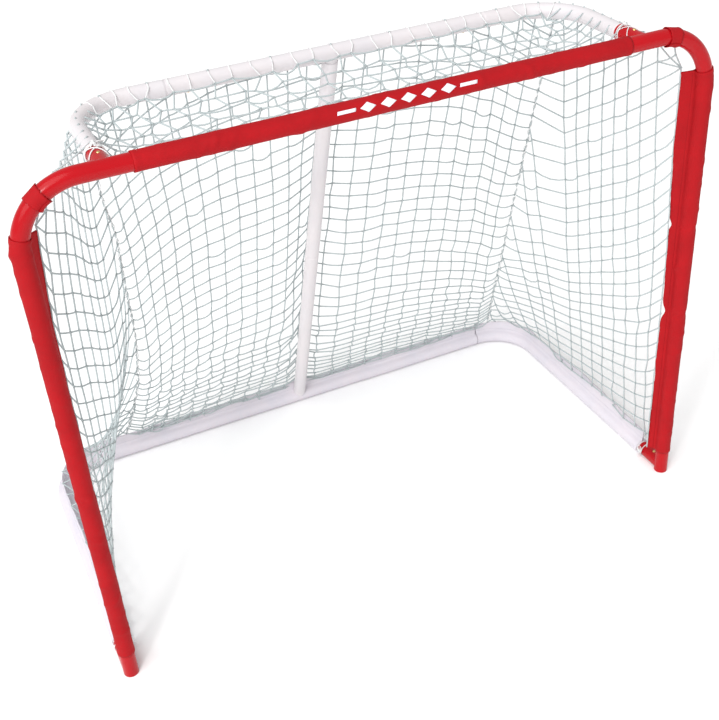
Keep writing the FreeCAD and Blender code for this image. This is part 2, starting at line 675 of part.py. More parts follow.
def base_sleeve_rear():
    """The white sleeve of the rear tube, open where the centre post comes through."""
    half_length = f"({POST_X} - dims.base_bend_radius - dims.seam_gap)"
    start = (f"-{half_length}", BASE_REAR_Y, BASE_Z)
    length = f"2 * {half_length}"
    tube = rod("base_sleeve_rear_tube", BASE_SLEEVE, start, "right", length)
    corner = (start[0], f"{BASE_REAR_Y} - dims.flap_thickness / 2", BASE_Z)
    flap = block("base_sleeve_rear_flap", corner, length, "dims.flap_thickness", "dims.flap_reach")
    bore_start = along(start, "left", OVERCUT)
    bore = rod("base_sleeve_rear_bore", SLEEVE_BORE, bore_start, "right", f"{length} + 2 * {OVERCUT}")
    hole_radius = f"{TUBE} + dims.seam_gap"
    post_hole = rod("base_sleeve_post_hole", hole_radius, POST_FOOT, "post_up", "2 * dims.flap_reach")
    return node("base_sleeve_rear", [tube, flap], [bore, post_hole])


# ---- netting, lacing and ties ------------------------------------------------------------

NET_BACK_TOP_Y = f"({TOP_REAR_Y} + dims.net_back_clearance)"
NET_BACK_FOOT_Y = f"({BASE_REAR_Y} + dims.net_foot_gap)"


def net_panel(name, middle, lower_half, upper_half, length, angle):
    """A flat tapering panel that rises from the middle of its lower edge."""
    item = doc.addObject("Part::Wedge", name)
    bind(item, Xmin=f"-{lower_half}", Xmax=lower_half, X2min=f"-{upper_half}", X2max=upper_half)
    bind(item, Ymin="0", Ymax=length, Zmin="0", Z2min="0")
    bind(item, Zmax="dims.net_thickness", Z2max="dims.net_thickness")
    item.Placement.Rotation = FreeCAD.Rotation(X_AXIS, number(angle))
    item.setExpression("Placement.Rotation.Angle", angle)
    settle(item, middle)
    item.Label = name
    return item


def net_back():
    """The netting from the top rear tube down to the base sleeve's flap."""
    fall = f"{BAR_Z} - dims.net_bottom"
    run = f"{NET_BACK_FOOT_Y} - {NET_BACK_TOP_Y}"
    middle = ("0", NET_BACK_FOOT_Y, "dims.net_bottom")
    angle = f"90 deg + atan(({run}) / ({fall}))"
    half = ("dims.net_back_bottom_half", "dims.net_back_top_half")
    return net_panel("net_back", middle, *half, f"hypot({run}; {fall})", angle)


def net_top():
    """The netting from the crossbar sleeve's flap back to the top rear tube."""
    front_y = f"({LINE_Y} + dims.bar_flap_reach)"
    front_z = f"({BAR_Z} - {TUBE})"
    run = f"dims.top_depth - dims.bar_flap_reach - {TUBE} - dims.net_side_gap"
    angle = f"atan({TUBE} / ({run}))"
    half = ("dims.net_top_front_half", "dims.net_top_rear_half")
    return net_panel("net_top", ("0", front_y, front_z), *half, f"hypot({run}; {TUBE})", angle)


def corner_line(sign):
    """The upper end of a rear corner seam, outside the top bend, and its foot on the base bend."""
    slant = number("cos(45 deg)")
    top_reach = number(f"dims.top_bend_radius + {TUBE} + dims.net_side_gap") * slant
    base_reach = number("dims.base_bend_radius - dims.net_corner_inset")
    foot_across = base_reach * number("cos(dims.seam_foot_angle)")
    foot_back = base_reach * number("sin(dims.seam_foot_angle)")
    upper = FreeCAD.Vector(
        sign * (number("dims.top_half_width - dims.top_bend_radius") + top_reach),
        number(f"{TOP_REAR_Y} - dims.top_bend_radius") + top_reach,
        number(BAR_Z),
    )
    lower = FreeCAD.Vector(
        sign * (number(f"{POST_X} - dims.base_bend_radius") + foot_across),
        number(f"{BASE_REAR_Y} - dims.base_bend_radius") + foot_back,
        number("dims.net_bottom"),
    )
    return upper, lower


def net_side(side, sign):
    """The twisted netting between a post's flap and the rear corner seam."""
    reach = FreeCAD.Vector(number("dims.flap_reach + dims.net_side_gap"), 0, 0)
    tip = FreeCAD.Rotation(Z_AXIS, number("dims.flap_angle")).multVec(reach)
    front_x = sign * (number(POST_X) - tip.x)
    front_y = number(LINE_Y) + tip.y
    front_low = FreeCAD.Vector(front_x, front_y, number("dims.net_bottom"))
    front_high = FreeCAD.Vector(front_x, front_y, number("dims.post_sleeve_top"))
    upper, lower = corner_line(sign)
    across = FreeCAD.Vector(sign * number("dims.net_thickness"), 0, 0)
    front = Part.makePolygon([front_low, front_high, front_high - across, front_low - across, front_low])
    rear = Part.makePolygon([lower, upper, upper - across, lower - across, lower])
    item = doc.addObject("Part::Feature", f"net_{side}")
    item.Shape = Part.makeLoft([front, rear], True, True)
    item.Label = f"net_{side}"
    return item


def corner_lacing(side, sign):
    """The cord that laces a side panel to the back panel."""
    upper, lower = corner_line(sign)
    offset = number("dims.lacing_offset * cos(45 deg)")
    outwards = FreeCAD.Vector(sign * offset, offset, 0)
    item = doc.addObject("Part::Cylinder", f"corner_lacing_{side}")
    bind(item, Radius=CORD)
    item.Height = (upper - lower).Length
    item.Placement = FreeCAD.Placement(lower + outwards, FreeCAD.Rotation(Z_AXIS, upper - lower))
    item.Label = f"corner_lacing_{side}"
    return item


def stub_tie(name, across, height):
    """A cord tied round a welded stub."""
    item = doc.addObject("Part::Torus", name)
    bind(item, Radius1=f"({TUBE} + {TIE} + {WELD_GAP})", Radius2=TIE)
    turn(item, "back")
    settle(item, (across, f"{LINE_Y} + dims.tie_position", height))
    item.Label = name
    return item


# ---- the whole goal ----------------------------------------------------------------------

subparts = [crossbar(), centre_post_upper(), centre_post_lower()]
for maker in (post, elbow, foot_plug, top_corner, base_side, post_sleeve, base_sleeve_side):
    left = maker()
    subparts += [left, mirrored(left.Label.replace("left", "right"), left)]
for tube in (
    ("top_rear_tube", "top_rear", TOP_REAR_Y, BAR_Z, "post_down", "centre_top"),
    ("base_rear_tube", "base_rear", BASE_REAR_Y, BASE_Z, "post_up", "centre_bottom"),
):
    subparts.append(rear_tube(*tube))
subparts += [snap_button(joint) for joint in joints]
subparts.append(snap_springs())
subparts += [crossbar_sleeve(), base_sleeve_rear(), net_top(), net_back()]
subparts.append(corner_strap("left", "-", "dims.left_strap_angle"))
subparts.append(corner_strap("right", "+", "dims.right_strap_angle"))
for side, sign, across in (("left", -1, "-"), ("right", 1, "+")):
    subparts.append(net_side(side, sign))
    subparts.append(corner_lacing(side, sign))
    subparts.append(stub_tie(f"top_tie_{side}", f"{across}dims.top_half_width", BAR_Z))
    subparts.append(stub_tie(f"base_tie_{side}", f"{across}{POST_X}", BASE_Z))

doc.recompute()

for item in doc.Objects:
    if "Invalid" in item.State or "Error" in item.State:
        raise RuntimeError(f"{item.Name} did not build: {item.State}")

os.makedirs("parts", exist_ok=True)
for item in subparts:
    shape = item.Shape
    if shape.isNull() or not shape.isValid() or not shape.Solids:
        raise RuntimeError(f"{item.Label} has no valid solid")
    shape.exportStep(f"parts/{item.Label}.step")
    print(f"{item.Label}: {len(shape.Solids)} solid(s), {shape.Volume / 1000:.1f} cm3")
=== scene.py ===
import math

import bpy
import numpy as np
from mathutils import Matrix, Vector


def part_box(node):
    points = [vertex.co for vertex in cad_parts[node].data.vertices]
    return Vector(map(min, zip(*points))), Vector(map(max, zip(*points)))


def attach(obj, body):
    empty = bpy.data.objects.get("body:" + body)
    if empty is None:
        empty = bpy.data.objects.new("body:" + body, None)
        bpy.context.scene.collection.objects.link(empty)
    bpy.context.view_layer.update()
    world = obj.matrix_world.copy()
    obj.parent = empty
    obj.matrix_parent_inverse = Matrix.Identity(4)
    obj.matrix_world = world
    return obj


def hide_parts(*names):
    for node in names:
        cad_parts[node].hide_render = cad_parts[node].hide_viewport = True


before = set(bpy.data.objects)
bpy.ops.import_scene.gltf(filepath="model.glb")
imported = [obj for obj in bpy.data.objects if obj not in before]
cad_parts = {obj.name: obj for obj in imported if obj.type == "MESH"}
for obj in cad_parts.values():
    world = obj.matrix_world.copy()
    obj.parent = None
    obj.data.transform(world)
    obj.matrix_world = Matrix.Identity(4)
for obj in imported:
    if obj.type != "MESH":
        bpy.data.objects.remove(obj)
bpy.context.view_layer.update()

rng = np.random.default_rng(7)
BODY = "frame"
SIDES = (("left", -1), ("right", 1))
X_AXIS = np.array([1.0, 0.0, 0.0])
Y_AXIS = np.array([0.0, 1.0, 0.0])
UP = np.array([0.0, 0.0, 1.0])


# ---- places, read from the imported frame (metres) -----------------------------------------

bar_low, bar_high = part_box("crossbar")
TUBE = (bar_high[2] - bar_low[2]) / 2
LINE_Y = float((bar_low[1] + bar_high[1]) / 2)
BAR_Z = float((bar_low[2] + bar_high[2]) / 2)
POST_X = float(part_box("post_right")[1][0]) - TUBE
BASE_Z = float(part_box("base_side_left")[0][2]) + TUBE
TOP_Y = float(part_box("top_corner_left")[1][1]) - TUBE
TOP_X = -float(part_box("top_corner_left")[0][0]) - TUBE
BASE_Y = float(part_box("base_side_left")[1][1]) - TUBE
FRONT_BEND = 0.114
TOP_BEND = 0.114
BASE_BEND = 0.118
POST_SLEEVE_TOP = 1.018
FLAP_REACH = 0.046
BAR_FLAP_REACH = 0.040
BAR_FLAP_DROOP = math.radians(20)


# ---- materials ---------------------------------------------------------------------------

class Nodes:
    """A material's node tree, with short ways to add nodes."""

    def __init__(self, name):
        self.material = bpy.data.materials.new(name)
        self.material.use_nodes = True
        self.tree = self.material.node_tree
        self.shader = next(n for n in self.tree.nodes if n.type == "BSDF_PRINCIPLED")

    def add(self, kind, **values):
        node = self.tree.nodes.new(kind)
        for key, value in values.items():
            setattr(node, key, value)
        return node

    def link(self, source, target):
        self.tree.links.new(source, target)

    def coords(self, space="Object"):
        return self.add("ShaderNodeTexCoord").outputs[space]

    def math(self, operation, a, b=None, c=None):
        node = self.add("ShaderNodeMath", operation=operation)
        for socket, value in zip(node.inputs, (a, b, c)):
            if value is None:
                continue
            if isinstance(value, (int, float)):
                socket.default_value = value
            else:
                self.link(value, socket)
        return node.outputs[0]

    def noise(self, vector, scale, detail, rough=0.5):
        node = self.add("ShaderNodeTexNoise")
        node.inputs["Scale"].default_value = scale
        node.inputs["Detail"].default_value = detail
        node.inputs["Roughness"].default_value = rough
        self.link(vector, node.inputs["Vector"])
        return node.outputs["Fac"]

    def spread(self, value, low, high):
        """A 0 to 1 value mapped to low to high."""
        node = self.add("ShaderNodeMapRange")
        self.link(value, node.inputs["Value"])
        node.inputs["To Min"].default_value = low
        node.inputs["To Max"].default_value = high
        return node.outputs["Result"]

    def ramp(self, value, margin, dark, light):
        """A colour from dark to light, each held over a margin at its end."""
        node = self.add("ShaderNodeValToRGB")
        stops = ((margin, dark), (1 - margin, light))
        for element, (place, colour) in zip(node.color_ramp.elements, stops):
            element.position = place
            element.color = (*colour, 1)
        self.link(value, node.inputs["Fac"])
        return node.outputs["Color"]

    def bump(self, height, strength, distance, under=None):
        node = self.add("ShaderNodeBump")
        node.inputs["Strength"].default_value = strength
        node.inputs["Distance"].default_value = distance
        self.link(height, node.inputs["Height"])
        if under is not None:
            self.link(under, node.inputs["Normal"])
        return node.outputs["Normal"]

    def set(self, **values):
        for key, value in values.items():
            socket = self.shader.inputs[key.replace("_", " ")]
            if isinstance(value, (int, float, tuple)):
                socket.default_value = value
            else:
                self.link(value, socket)


def paint(name, light, dark, rough):
    """Sprayed enamel on steel: faint orange peel, dust specks and fine cloudiness."""
    m = Nodes(name)
    where = m.coords()
    cloud = m.noise(where, scale=9.0, detail=4.0)
    m.set(Base_Color=m.ramp(cloud, 0.25, dark, light))
    scuff = m.noise(where, scale=60.0, detail=6.0, rough=0.7)
    m.set(Roughness=m.spread(scuff, rough * 0.75, rough * 1.5))
    peel = m.bump(m.noise(where, scale=420.0, detail=2.0), strength=0.10, distance=0.0006)
    dust = m.noise(where, scale=1600.0, detail=1.0)
    speck = m.bump(dust, strength=0.05, distance=0.0002, under=peel)
    m.set(Normal=speck, Specular_IOR_Level=0.22)
    return m.material


def fabric(name, light, dark, pitch=0.0011):
    """Plain-woven coated nylon with uneven dye, woven along the piece's UVs."""
    m = Nodes(name)
    split = m.add("ShaderNodeSeparateXYZ")
    m.link(m.coords("UV"), split.inputs[0])
    turns = 2 * math.pi / pitch
    warp = m.math("SINE", m.math("MULTIPLY", split.outputs["X"], turns))
    weft = m.math("SINE", m.math("MULTIPLY", split.outputs["Y"], turns))
    cross = m.math("MULTIPLY", warp, weft)
    weave = m.math("MULTIPLY_ADD", cross, 0.5, 0.5)
    where = m.coords()
    cloud = m.noise(where, scale=14.0, detail=5.0, rough=0.6)
    slub = m.noise(where, scale=180.0, detail=3.0)
    tone = m.math("MULTIPLY_ADD", cloud, 0.66, m.math("MULTIPLY", slub, 0.22))
    tone = m.math("MULTIPLY_ADD", weave, 0.12, tone)
    m.set(Base_Color=m.ramp(tone, 0.22, dark, light))
    m.set(Roughness=m.spread(slub, 0.62, 0.86))
    thread = m.bump(weave, strength=0.35, distance=0.00025)
    folds = m.noise(where, scale=42.0, detail=4.0, rough=0.62)
    crease = m.bump(folds, strength=0.30, distance=0.0022, under=thread)
    m.set(Normal=crease, Specular_IOR_Level=0.2)
    return m.material


def twine(name, light, dark, pitch):
    """Twisted cord: diagonal strands round it, with a little fluff and grey in it."""
    m = Nodes(name)
    split = m.add("ShaderNodeSeparateXYZ")
    m.link(m.coords("UV"), split.inputs[0])
    strand_count = 3
    around = m.math("MULTIPLY", split.outputs["X"], 2 * math.pi * strand_count)
    along = m.math("MULTIPLY_ADD", split.outputs["Y"], 2 * math.pi / pitch, around)
    strand = m.math("MULTIPLY_ADD", m.math("SINE", along), 0.5, 0.5)
    where = m.coords()
    fluff = m.noise(where, scale=700.0, detail=3.0, rough=0.7)
    grime = m.noise(where, scale=22.0, detail=4.0)
    tone = m.math("MULTIPLY_ADD", grime, 0.6, m.math("MULTIPLY", strand, 0.4))
    m.set(Base_Color=m.ramp(tone, 0.2, dark, light))
    m.set(Roughness=m.spread(fluff, 0.7, 0.95))
    strands = m.bump(strand, strength=0.6, distance=0.0004)
    fuzz = m.bump(fluff, strength=0.3, distance=0.0002, under=strands)
    m.set(Normal=fuzz, Specular_IOR_Level=0.2)
    return m.material


def metal(name, light, dark, rough):
    """Plated metal with fine drawn lines and dulled patches."""
    m = Nodes(name)
    where = m.coords()
    stretch = m.add("ShaderNodeMapping")
    stretch.inputs["Scale"].default_value = (30.0, 30.0, 900.0)
    m.link(where, stretch.inputs["Vector"])
    drawn = m.noise(stretch.outputs["Vector"], scale=3.0, detail=3.0)
    patch = m.noise(where, scale=260.0, detail=4.0)
    m.set(Base_Color=m.ramp(patch, 0.3, dark, light), Metallic=1.0)
    m.set(Roughness=m.spread(patch, rough * 0.7, rough * 1.4))
    m.set(Normal=m.bump(drawn, strength=0.12, distance=0.0001))
    return m.material


def plastic(name, light, dark, rough):
    """Moulded plastic with a spark-eroded grain."""
    m = Nodes(name)
    where = m.coords()
    grain = m.noise(where, scale=900.0, detail=2.0)
    m.set(Base_Color=m.ramp(m.noise(where, scale=30.0, detail=3.0), 0.3, dark, light))
    m.set(Roughness=m.spread(grain, rough * 0.8, rough * 1.2))
    m.set(Normal=m.bump(grain, strength=0.25, distance=0.0002))
    return m.material


RED_PAINT = paint("red_enamel", (0.46, 0.004, 0.009), (0.38, 0.003, 0.007), 0.17)
WHITE_PAINT = paint("white_enamel", (0.71, 0.665, 0.67), (0.64, 0.62, 0.645), 0.22)
RED_FABRIC = fabric("red_nylon", (0.455, 0.0045, 0.009), (0.30, 0.003, 0.006))
WHITE_FABRIC = fabric("white_nylon", (0.72, 0.66, 0.695), (0.61, 0.60, 0.665))
PRINT = plastic("white_print", (0.88, 0.86, 0.90), (0.72, 0.70, 0.78), 0.55)
# The net's twine is white; both of its colours are darkened to grey, painted shade that lets it
# stand out against the white floor.
SHADED_TWINE = twine("net_twine_shaded", (0.54, 0.595, 0.60), (0.38, 0.43, 0.44), 0.0042)
CORD = twine("white_cord", (0.88, 0.88, 0.87), (0.66, 0.67, 0.68), 0.0050)
RED_THREAD = twine("red_thread", (0.36, 0.004, 0.008), (0.22, 0.003, 0.006), 0.0020)
WHITE_THREAD = twine("white_thread", (0.60, 0.57, 0.62), (0.44, 0.43, 0.50), 0.0020)
BRASS = metal("brass_plate", (0.83, 0.60, 0.26), (0.66, 0.45, 0.17), 0.26)
STEEL = metal("spring_leaf", (0.60, 0.61, 0.63), (0.44, 0.45, 0.48), 0.30)
RED_PLASTIC = plastic("red_moulding", (0.50, 0.012, 0.016), (0.40, 0.008, 0.012), 0.42)

WHITE_TUBES = ("top_", "base_side", "base_rear_tube", "centre_post")
for node_name, node_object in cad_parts.items():
    if node_name.startswith("button_"):
        chosen = BRASS
    elif node_name == "snap_springs":
        chosen = STEEL
    elif node_name.startswith("foot_plug"):
        chosen = RED_PLASTIC
    elif node_name.startswith(WHITE_TUBES):
        chosen = WHITE_PAINT
    else:
        chosen = RED_PAINT
    node_object.data.materials.clear()
    node_object.data.materials.append(chosen)


# ---- lines of points ---------------------------------------------------------------------

def unit(vector):
    return vector / np.linalg.norm(vector)


def units(vectors):
    return vectors / np.linalg.norm(vectors, axis=1)[:, None]


def run_along(points):
    """The distance of each point from the first, along the line."""
    steps = np.linalg.norm(np.diff(points, axis=0), axis=1)
    return np.concatenate([[0], np.cumsum(steps)])


def places_at(points, run, distance):
    return np.stack([np.interp(distance, run, points[:, i]) for i in range(3)], -1)


def resample(points, step):
    """The same line with points about a step apart."""
    points = np.asarray(points, float)
    run = run_along(points)
    count = max(2, int(round(run[-1] / step)) + 1)
    return places_at(points, run, np.linspace(0, run[-1], count))


def arc(centre, first, last, radius, start, end, n=40):
    """Points from angle start to end, turning from direction first towards last."""
    turn = np.linspace(start, end, n)
    return centre + radius * (np.cos(turn)[:, None] * first + np.sin(turn)[:, None] * last)


def across_one(axis):
    """A direction square to an axis."""
    return unit(np.cross(axis, UP if abs(axis @ UP) < 0.9 else X_AXIS))


def frames_along(points):
    """Tangents of a line of points and two directions across it that turn as little as can be."""
    tangents = units(np.gradient(np.asarray(points, float), axis=0))
    side = across_one(tangents[0])
    sides = []
    for t in tangents:
        side = unit(side - (side @ t) * t)
        sides.append(side)
    sides = np.array(sides)
    return tangents, sides, np.cross(tangents, sides)


def smooth_noise(n, reach, seed):
    """n numbers that wander between about -1 and 1, with bumps about reach numbers long."""
    source = np.random.default_rng(seed).normal(size=n + 8 * reach)
    width = np.arange(-3 * reach, 3 * reach + 1)
    kernel = np.exp(-0.5 * (width / reach) ** 2)
    out = np.convolve(source, kernel / math.sqrt((kernel**2).sum()), "same")
    return out[4 * reach: 4 * reach + n] / 1.6


# ---- mesh helpers ------------------------------------------------------------------------

def piece(name, verts, faces, uvs, material, replaces=()):
    """A smooth mesh in the row frame that rides on the goal's frame."""
    mesh = bpy.data.meshes.new(name)
    mesh.from_pydata([tuple(map(float, v)) for v in verts], [], faces)
    mesh.update()
    layer = mesh.uv_layers.new(name="UVMap")
    layer.data.foreach_set("uv", np.asarray(uvs, np.float32).ravel())
    mesh.materials.append(material)
    mesh.polygons.foreach_set("use_smooth", [True] * len(mesh.polygons))
    made = bpy.data.objects.new(name, mesh)
    bpy.context.scene.collection.objects.link(made)
    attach(made, BODY)
    if replaces:
        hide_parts(*replaces)
    return made


class Bag:
    """Vertices, faces and UVs gathered from many small shapes."""

    def __init__(self):
        self.verts, self.faces, self.uvs, self.count = [], [], [], 0

    def take(self, verts, faces, uvs):
        self.verts.append(np.asarray(verts, float))
        self.faces += [tuple(i + self.count for i in f) for f in faces]
        self.uvs.append(np.asarray(uvs, float))
        self.count += len(verts)

    def make(self, name, material, slot, replaces=()):
        verts, uvs = np.concatenate(self.verts), np.concatenate(self.uvs)
        return piece(name, verts, self.faces, uvs, material, replaces)


def tube(bag, points, radius, sides=6, round_ends=True):
    """A cord along a line of points, closed at its ends."""
    points = np.asarray(points, float)
    radii = np.full(len(points), float(radius))
    tangents, across, over = frames_along(points)
    if round_ends:
        first = points[0] - tangents[0] * radius * 0.6
        last = points[-1] + tangents[-1] * radius * 0.6
        points = np.vstack([first, points, last])
        across = np.vstack([across[:1], across, across[-1:]])
        over = np.vstack([over[:1], over, over[-1:]])
        radii = np.concatenate([[radius * 0.55], radii, [radius * 0.55]])
    n = len(points)
    turn = (np.arange(sides) * 2 * math.pi / sides)[None, :, None]
    ring = np.cos(turn) * across[:, None] + np.sin(turn) * over[:, None]
    verts = (points[:, None] + ring * radii[:, None, None]).reshape(-1, 3)
    run = run_along(points)
    faces, uvs = [], []
    for k in range(n - 1):
        here, there = k * sides, (k + 1) * sides
        for i in range(sides):
            j = (i + 1) % sides
            faces.append((here + i, here + j, there + j, there + i))
            u0, u1 = i / sides, (i + 1) / sides
            uvs += [(u0, run[k]), (u1, run[k]), (u1, run[k + 1]), (u0, run[k + 1])]
    faces.append(tuple(reversed(range(sides))))
    faces.append(tuple((n - 1) * sides + i for i in range(sides)))
    uvs += [(i / sides, run[0]) for i in reversed(range(sides))]
    uvs += [(i / sides, run[-1]) for i in range(sides)]
    bag.take(verts, faces, uvs)


BALL_RINGS, BALL_SIDES = 4, 6


def lump(bag, centre, axis, long, wide):
    """A knot: a small lumpy ball, longer along its axis."""
    axis = unit(axis)
    a = across_one(axis)
    b = np.cross(axis, a)
    verts = [centre - axis * long]
    for r in range(1, BALL_RINGS):
        lat = math.pi * r / BALL_RINGS
        for s in range(BALL_SIDES):
            lon = 2 * math.pi * (s + 0.5 * r) / BALL_SIDES
            bulge = wide * math.sin(lat) * (1 + 0.22 * rng.uniform(-1, 1))
            verts.append(centre - axis * long * math.cos(lat)
                         + bulge * (math.cos(lon) * a + math.sin(lon) * b))
    verts.append(centre + axis * long)
    faces = []
    for s in range(BALL_SIDES):
        t = (s + 1) % BALL_SIDES
        faces.append((0, 1 + t, 1 + s))
        for r in range(BALL_RINGS - 2):
            base = 1 + r * BALL_SIDES
            faces.append((base + s, base + t, base + BALL_SIDES + t, base + BALL_SIDES + s))
        base = 1 + (BALL_RINGS - 2) * BALL_SIDES
        faces.append((base + s, base + t, len(verts) - 1))
    uvs = [(0.1 * (i % 7), 0.001 * (i % 11)) for f in faces for i in f]
    bag.take(verts, faces, uvs)


def thin_sheet(rows, cols, u_step, v_step, flip=False):
    """Faces and UVs of a thin sheet: a grid, the same grid again as its back, and its rim."""
    n = rows * cols

    def uv(i):
        return (i % n % cols * u_step, i % n // cols * v_step)

    faces, uvs = [], []
    for i in range(rows - 1):
        for j in range(cols - 1):
            k = i * cols + j
            quad = (k, k + cols, k + cols + 1, k + 1)
            if flip:
                quad = (k, k + 1, k + cols + 1, k + cols)
            faces += [quad, tuple(n + q for q in reversed(quad))]
            uvs += [uv(q) for q in quad + tuple(reversed(quad))]
    near = list(range(0, n, cols))
    far = list(range(n - cols + 1, n))
    rim = near + far + [k + cols - 1 for k in near[-2::-1]] + list(range(cols - 2, 0, -1))
    if flip:
        rim.reverse()
    for p, q in zip(rim, rim[1:] + rim[:1]):
        faces.append((q, p, n + p, n + q))
        uvs += [uv(p)] * 4
    return faces, uvs


# ---- sleeves -----------------------------------------------------------------------------

CLOTH_OUT = 0.0181
CLOTH_IN = 0.0164
HALF_FLAP = 0.0009
MOUTH = 0.20
FLAP_STEPS, ROUND_STEPS = 8, 33
HEM, HEM_THICK, HEM_GROOVE = 0.012, 0.0004, 0.0003
FOLD_PITCH, FOLD_SLANT, FOLD_WIDTH, FOLD_TURN = 0.022, 0.016, 0.0045, 0.9


def bell(distance, width):
    return math.exp(-0.5 * (distance / width) ** 2)


def sleeve(name, centres, flaps, material, seed, wrinkle, reach=FLAP_REACH, pinches=(),
           lean=None, narrow=None, square_end=0.0, gathers=0.0):
    """A fabric sleeve round a tube, closed by a flap whose two layers are sewn together.

    Each pinch is a place, a width and a depth. lean and narrow give the flap's lean sideways and
    its lost reach at a distance along the tube.
    """
    centres, flaps = np.asarray(centres, float), np.asarray(flaps, float)
    n = len(centres)
    tangents = units(np.gradient(centres, axis=0))
    flaps = units(flaps - (flaps * tangents).sum(1)[:, None] * tangents)
    sides = np.cross(tangents, flaps)
    run = run_along(centres)
    total = run[-1]
    root = CLOTH_OUT + 0.0015
    spans = np.linspace(1, 0, FLAP_STEPS)[:-1]
    turns = np.linspace(MOUTH, 2 * math.pi - MOUTH, ROUND_STEPS)
    wander = smooth_noise(n, 9, seed)
    flutter = smooth_noise(n, 14, seed + 1)
    edge = smooth_noise(n, 3, seed + 2)
    draws = np.random.default_rng(seed + 5)
    folds = [(draws.uniform(0.02, total - 0.02), draws.uniform(0, 2 * math.pi),
              draws.uniform(-1, 1), draws.uniform(0.4, 1.0))
             for _ in range(int(total / FOLD_PITCH))]
    verts = []
    for k, s in enumerate(run):
        to_end = min(s, total - s)
        thick = HEM_THICK if to_end < HEM else 0.0
        groove = -HEM_GROOVE if HEM <= to_end < HEM + 0.004 else 0.0
        local = reach + 0.0009 * edge[k] - 0.0004
        swing = 0.0022 * flutter[k] + gathers * 0.0012 * edge[k]
        if narrow is not None:
            local -= narrow(s)
        if lean is not None:
            swing += lean(s)
        for place, width, depth in pinches:
            local -= depth * bell(s - place, width)
            swing += 0.35 * depth * bell(s - place, width)
        local = min(local, reach + 0.0012)
        if to_end < square_end:
            local -= 0.002 * (1 - to_end / square_end)
        layers = [(root + (local - root) * f, HALF_FLAP + thick * 0.5 + 0.0004 * (f > 0.93),
                   swing * f**2) for f in spans]
        row = [(d, shift + half) for d, half, shift in layers]
        fade = min(1.0, to_end / 0.02)
        for angle in turns:
            crest = 0.0
            for place, centre, slant, size in folds:
                turn = (angle - centre + math.pi) % (2 * math.pi) - math.pi
                off = (s - place) - slant * FOLD_SLANT * turn
                crest += size * math.exp(-0.5 * (off / FOLD_WIDTH) ** 2
                                         - 0.5 * (turn / FOLD_TURN) ** 2)
            for place, width, _ in pinches:
                crest += 1.3 * bell(s - place, width * 0.5) * math.cos(3 * angle)
            r = CLOTH_OUT - 0.0005 + thick + groove
            r += 0.0004 * wander[k] * math.cos(2 * angle + 3 * s)
            r += wrinkle * fade * min(crest, 1.8)
            row.append((r * math.cos(angle), r * math.sin(angle)))
        row += [(d, shift - half) for d, half, shift in layers[::-1]]
        row = np.array(row)
        verts.append(centres[k] + row[:, :1] * flaps[k] + row[:, 1:] * sides[k])
    outline = run_along(row)
    count = len(row)
    squeeze = np.linspace(0.02, MOUTH * 0.9, len(spans))
    lining = np.concatenate([squeeze, turns, 2 * math.pi - squeeze[::-1]])
    ring = CLOTH_IN * np.stack([np.cos(lining), np.sin(lining)], 1)
    for k in range(n):
        verts.append(centres[k] + ring[:, :1] * flaps[k] + ring[:, 1:] * sides[k])
    faces, uvs = [], []
    for layer in (0, 1):
        for k in range(n - 1):
            here = (layer * n + k) * count
            for i in range(count):
                j = (i + 1) % count
                quad = [here + i, here + j, here + count + j, here + count + i]
                u0 = outline[i]
                u1 = outline[j] if j else outline[-1] + 2 * HALF_FLAP
                corners = [(u0, run[k]), (u1, run[k]), (u1, run[k + 1]), (u0, run[k + 1])]
                if layer:
                    quad.reverse()
                    corners.reverse()
                faces.append(tuple(quad))
                uvs += corners
    for k, flip in ((0, True), (n - 1, False)):
        for i in range(count):
            j = (i + 1) % count
            quad = [k * count + i, k * count + j, (n + k) * count + j, (n + k) * count + i]
            faces.append(tuple(reversed(quad)) if flip else tuple(quad))
            uvs += [(outline[i], run[k])] * 4
    return piece(name, np.concatenate(verts), faces, uvs, material, replaces=[name])


STITCH_PITCH, STITCH_LONG, STITCH_RADIUS = 0.0044, 0.0030, 0.00035
STITCH_OUT, STITCH_LIFT = 0.0235, 0.0010


def stitches(name, centres, flaps, material, slot):
    """A row of lock stitches along both faces of a flap."""
    bag = Bag()
    run = run_along(centres)
    half = STITCH_LONG / 2
    for s in np.arange(0.004, run[-1] - 0.004, STITCH_PITCH):
        ends = []
        for q in (s - half, s, s + half):
            ends.append((places_at(centres, run, q), unit(places_at(flaps, run, q))))
        t = unit(ends[2][0] - ends[0][0])
        f = unit(ends[1][1] - (ends[1][1] @ t) * t)
        side = np.cross(t, f)
        for sign in (1, -1):
            lift = (-0.0001, 0.00025, -0.0001)
            line = [c + f * STITCH_OUT + side * sign * (STITCH_LIFT + up)
                    for (c, _), up in zip(ends, lift)]
            tube(bag, line, STITCH_RADIUS, sides=4)
    bag.make(name, material, slot)


def post_flap(side, z):
    """The direction and reach of a post's flap at a height. The left one folds back lower down."""
    sign = -1 if side == "left" else 1
    turn = 37.0
    if side == "left":
        turn = float(np.interp(z, [0.84, 1.00], [58.0, 41.0]))
    angle = math.radians(turn)
    pulled = 0.009 * min(1, max(0, (0.86 - z) / 0.30))
    return np.array([-sign * math.cos(angle), math.sin(angle), 0.0]), FLAP_REACH - pulled


CLOTH_STEP = 0.004
POST_TUCKS = {"right": ((0.395, 0.010, 0.007), (0.61, 0.008, 0.006)),
              "left": ((0.42, 0.012, 0.004),)}
POST_SEEDS = {"left": 11, "right": 23}
BASE_SEEDS = {"left": 51, "right": 67}

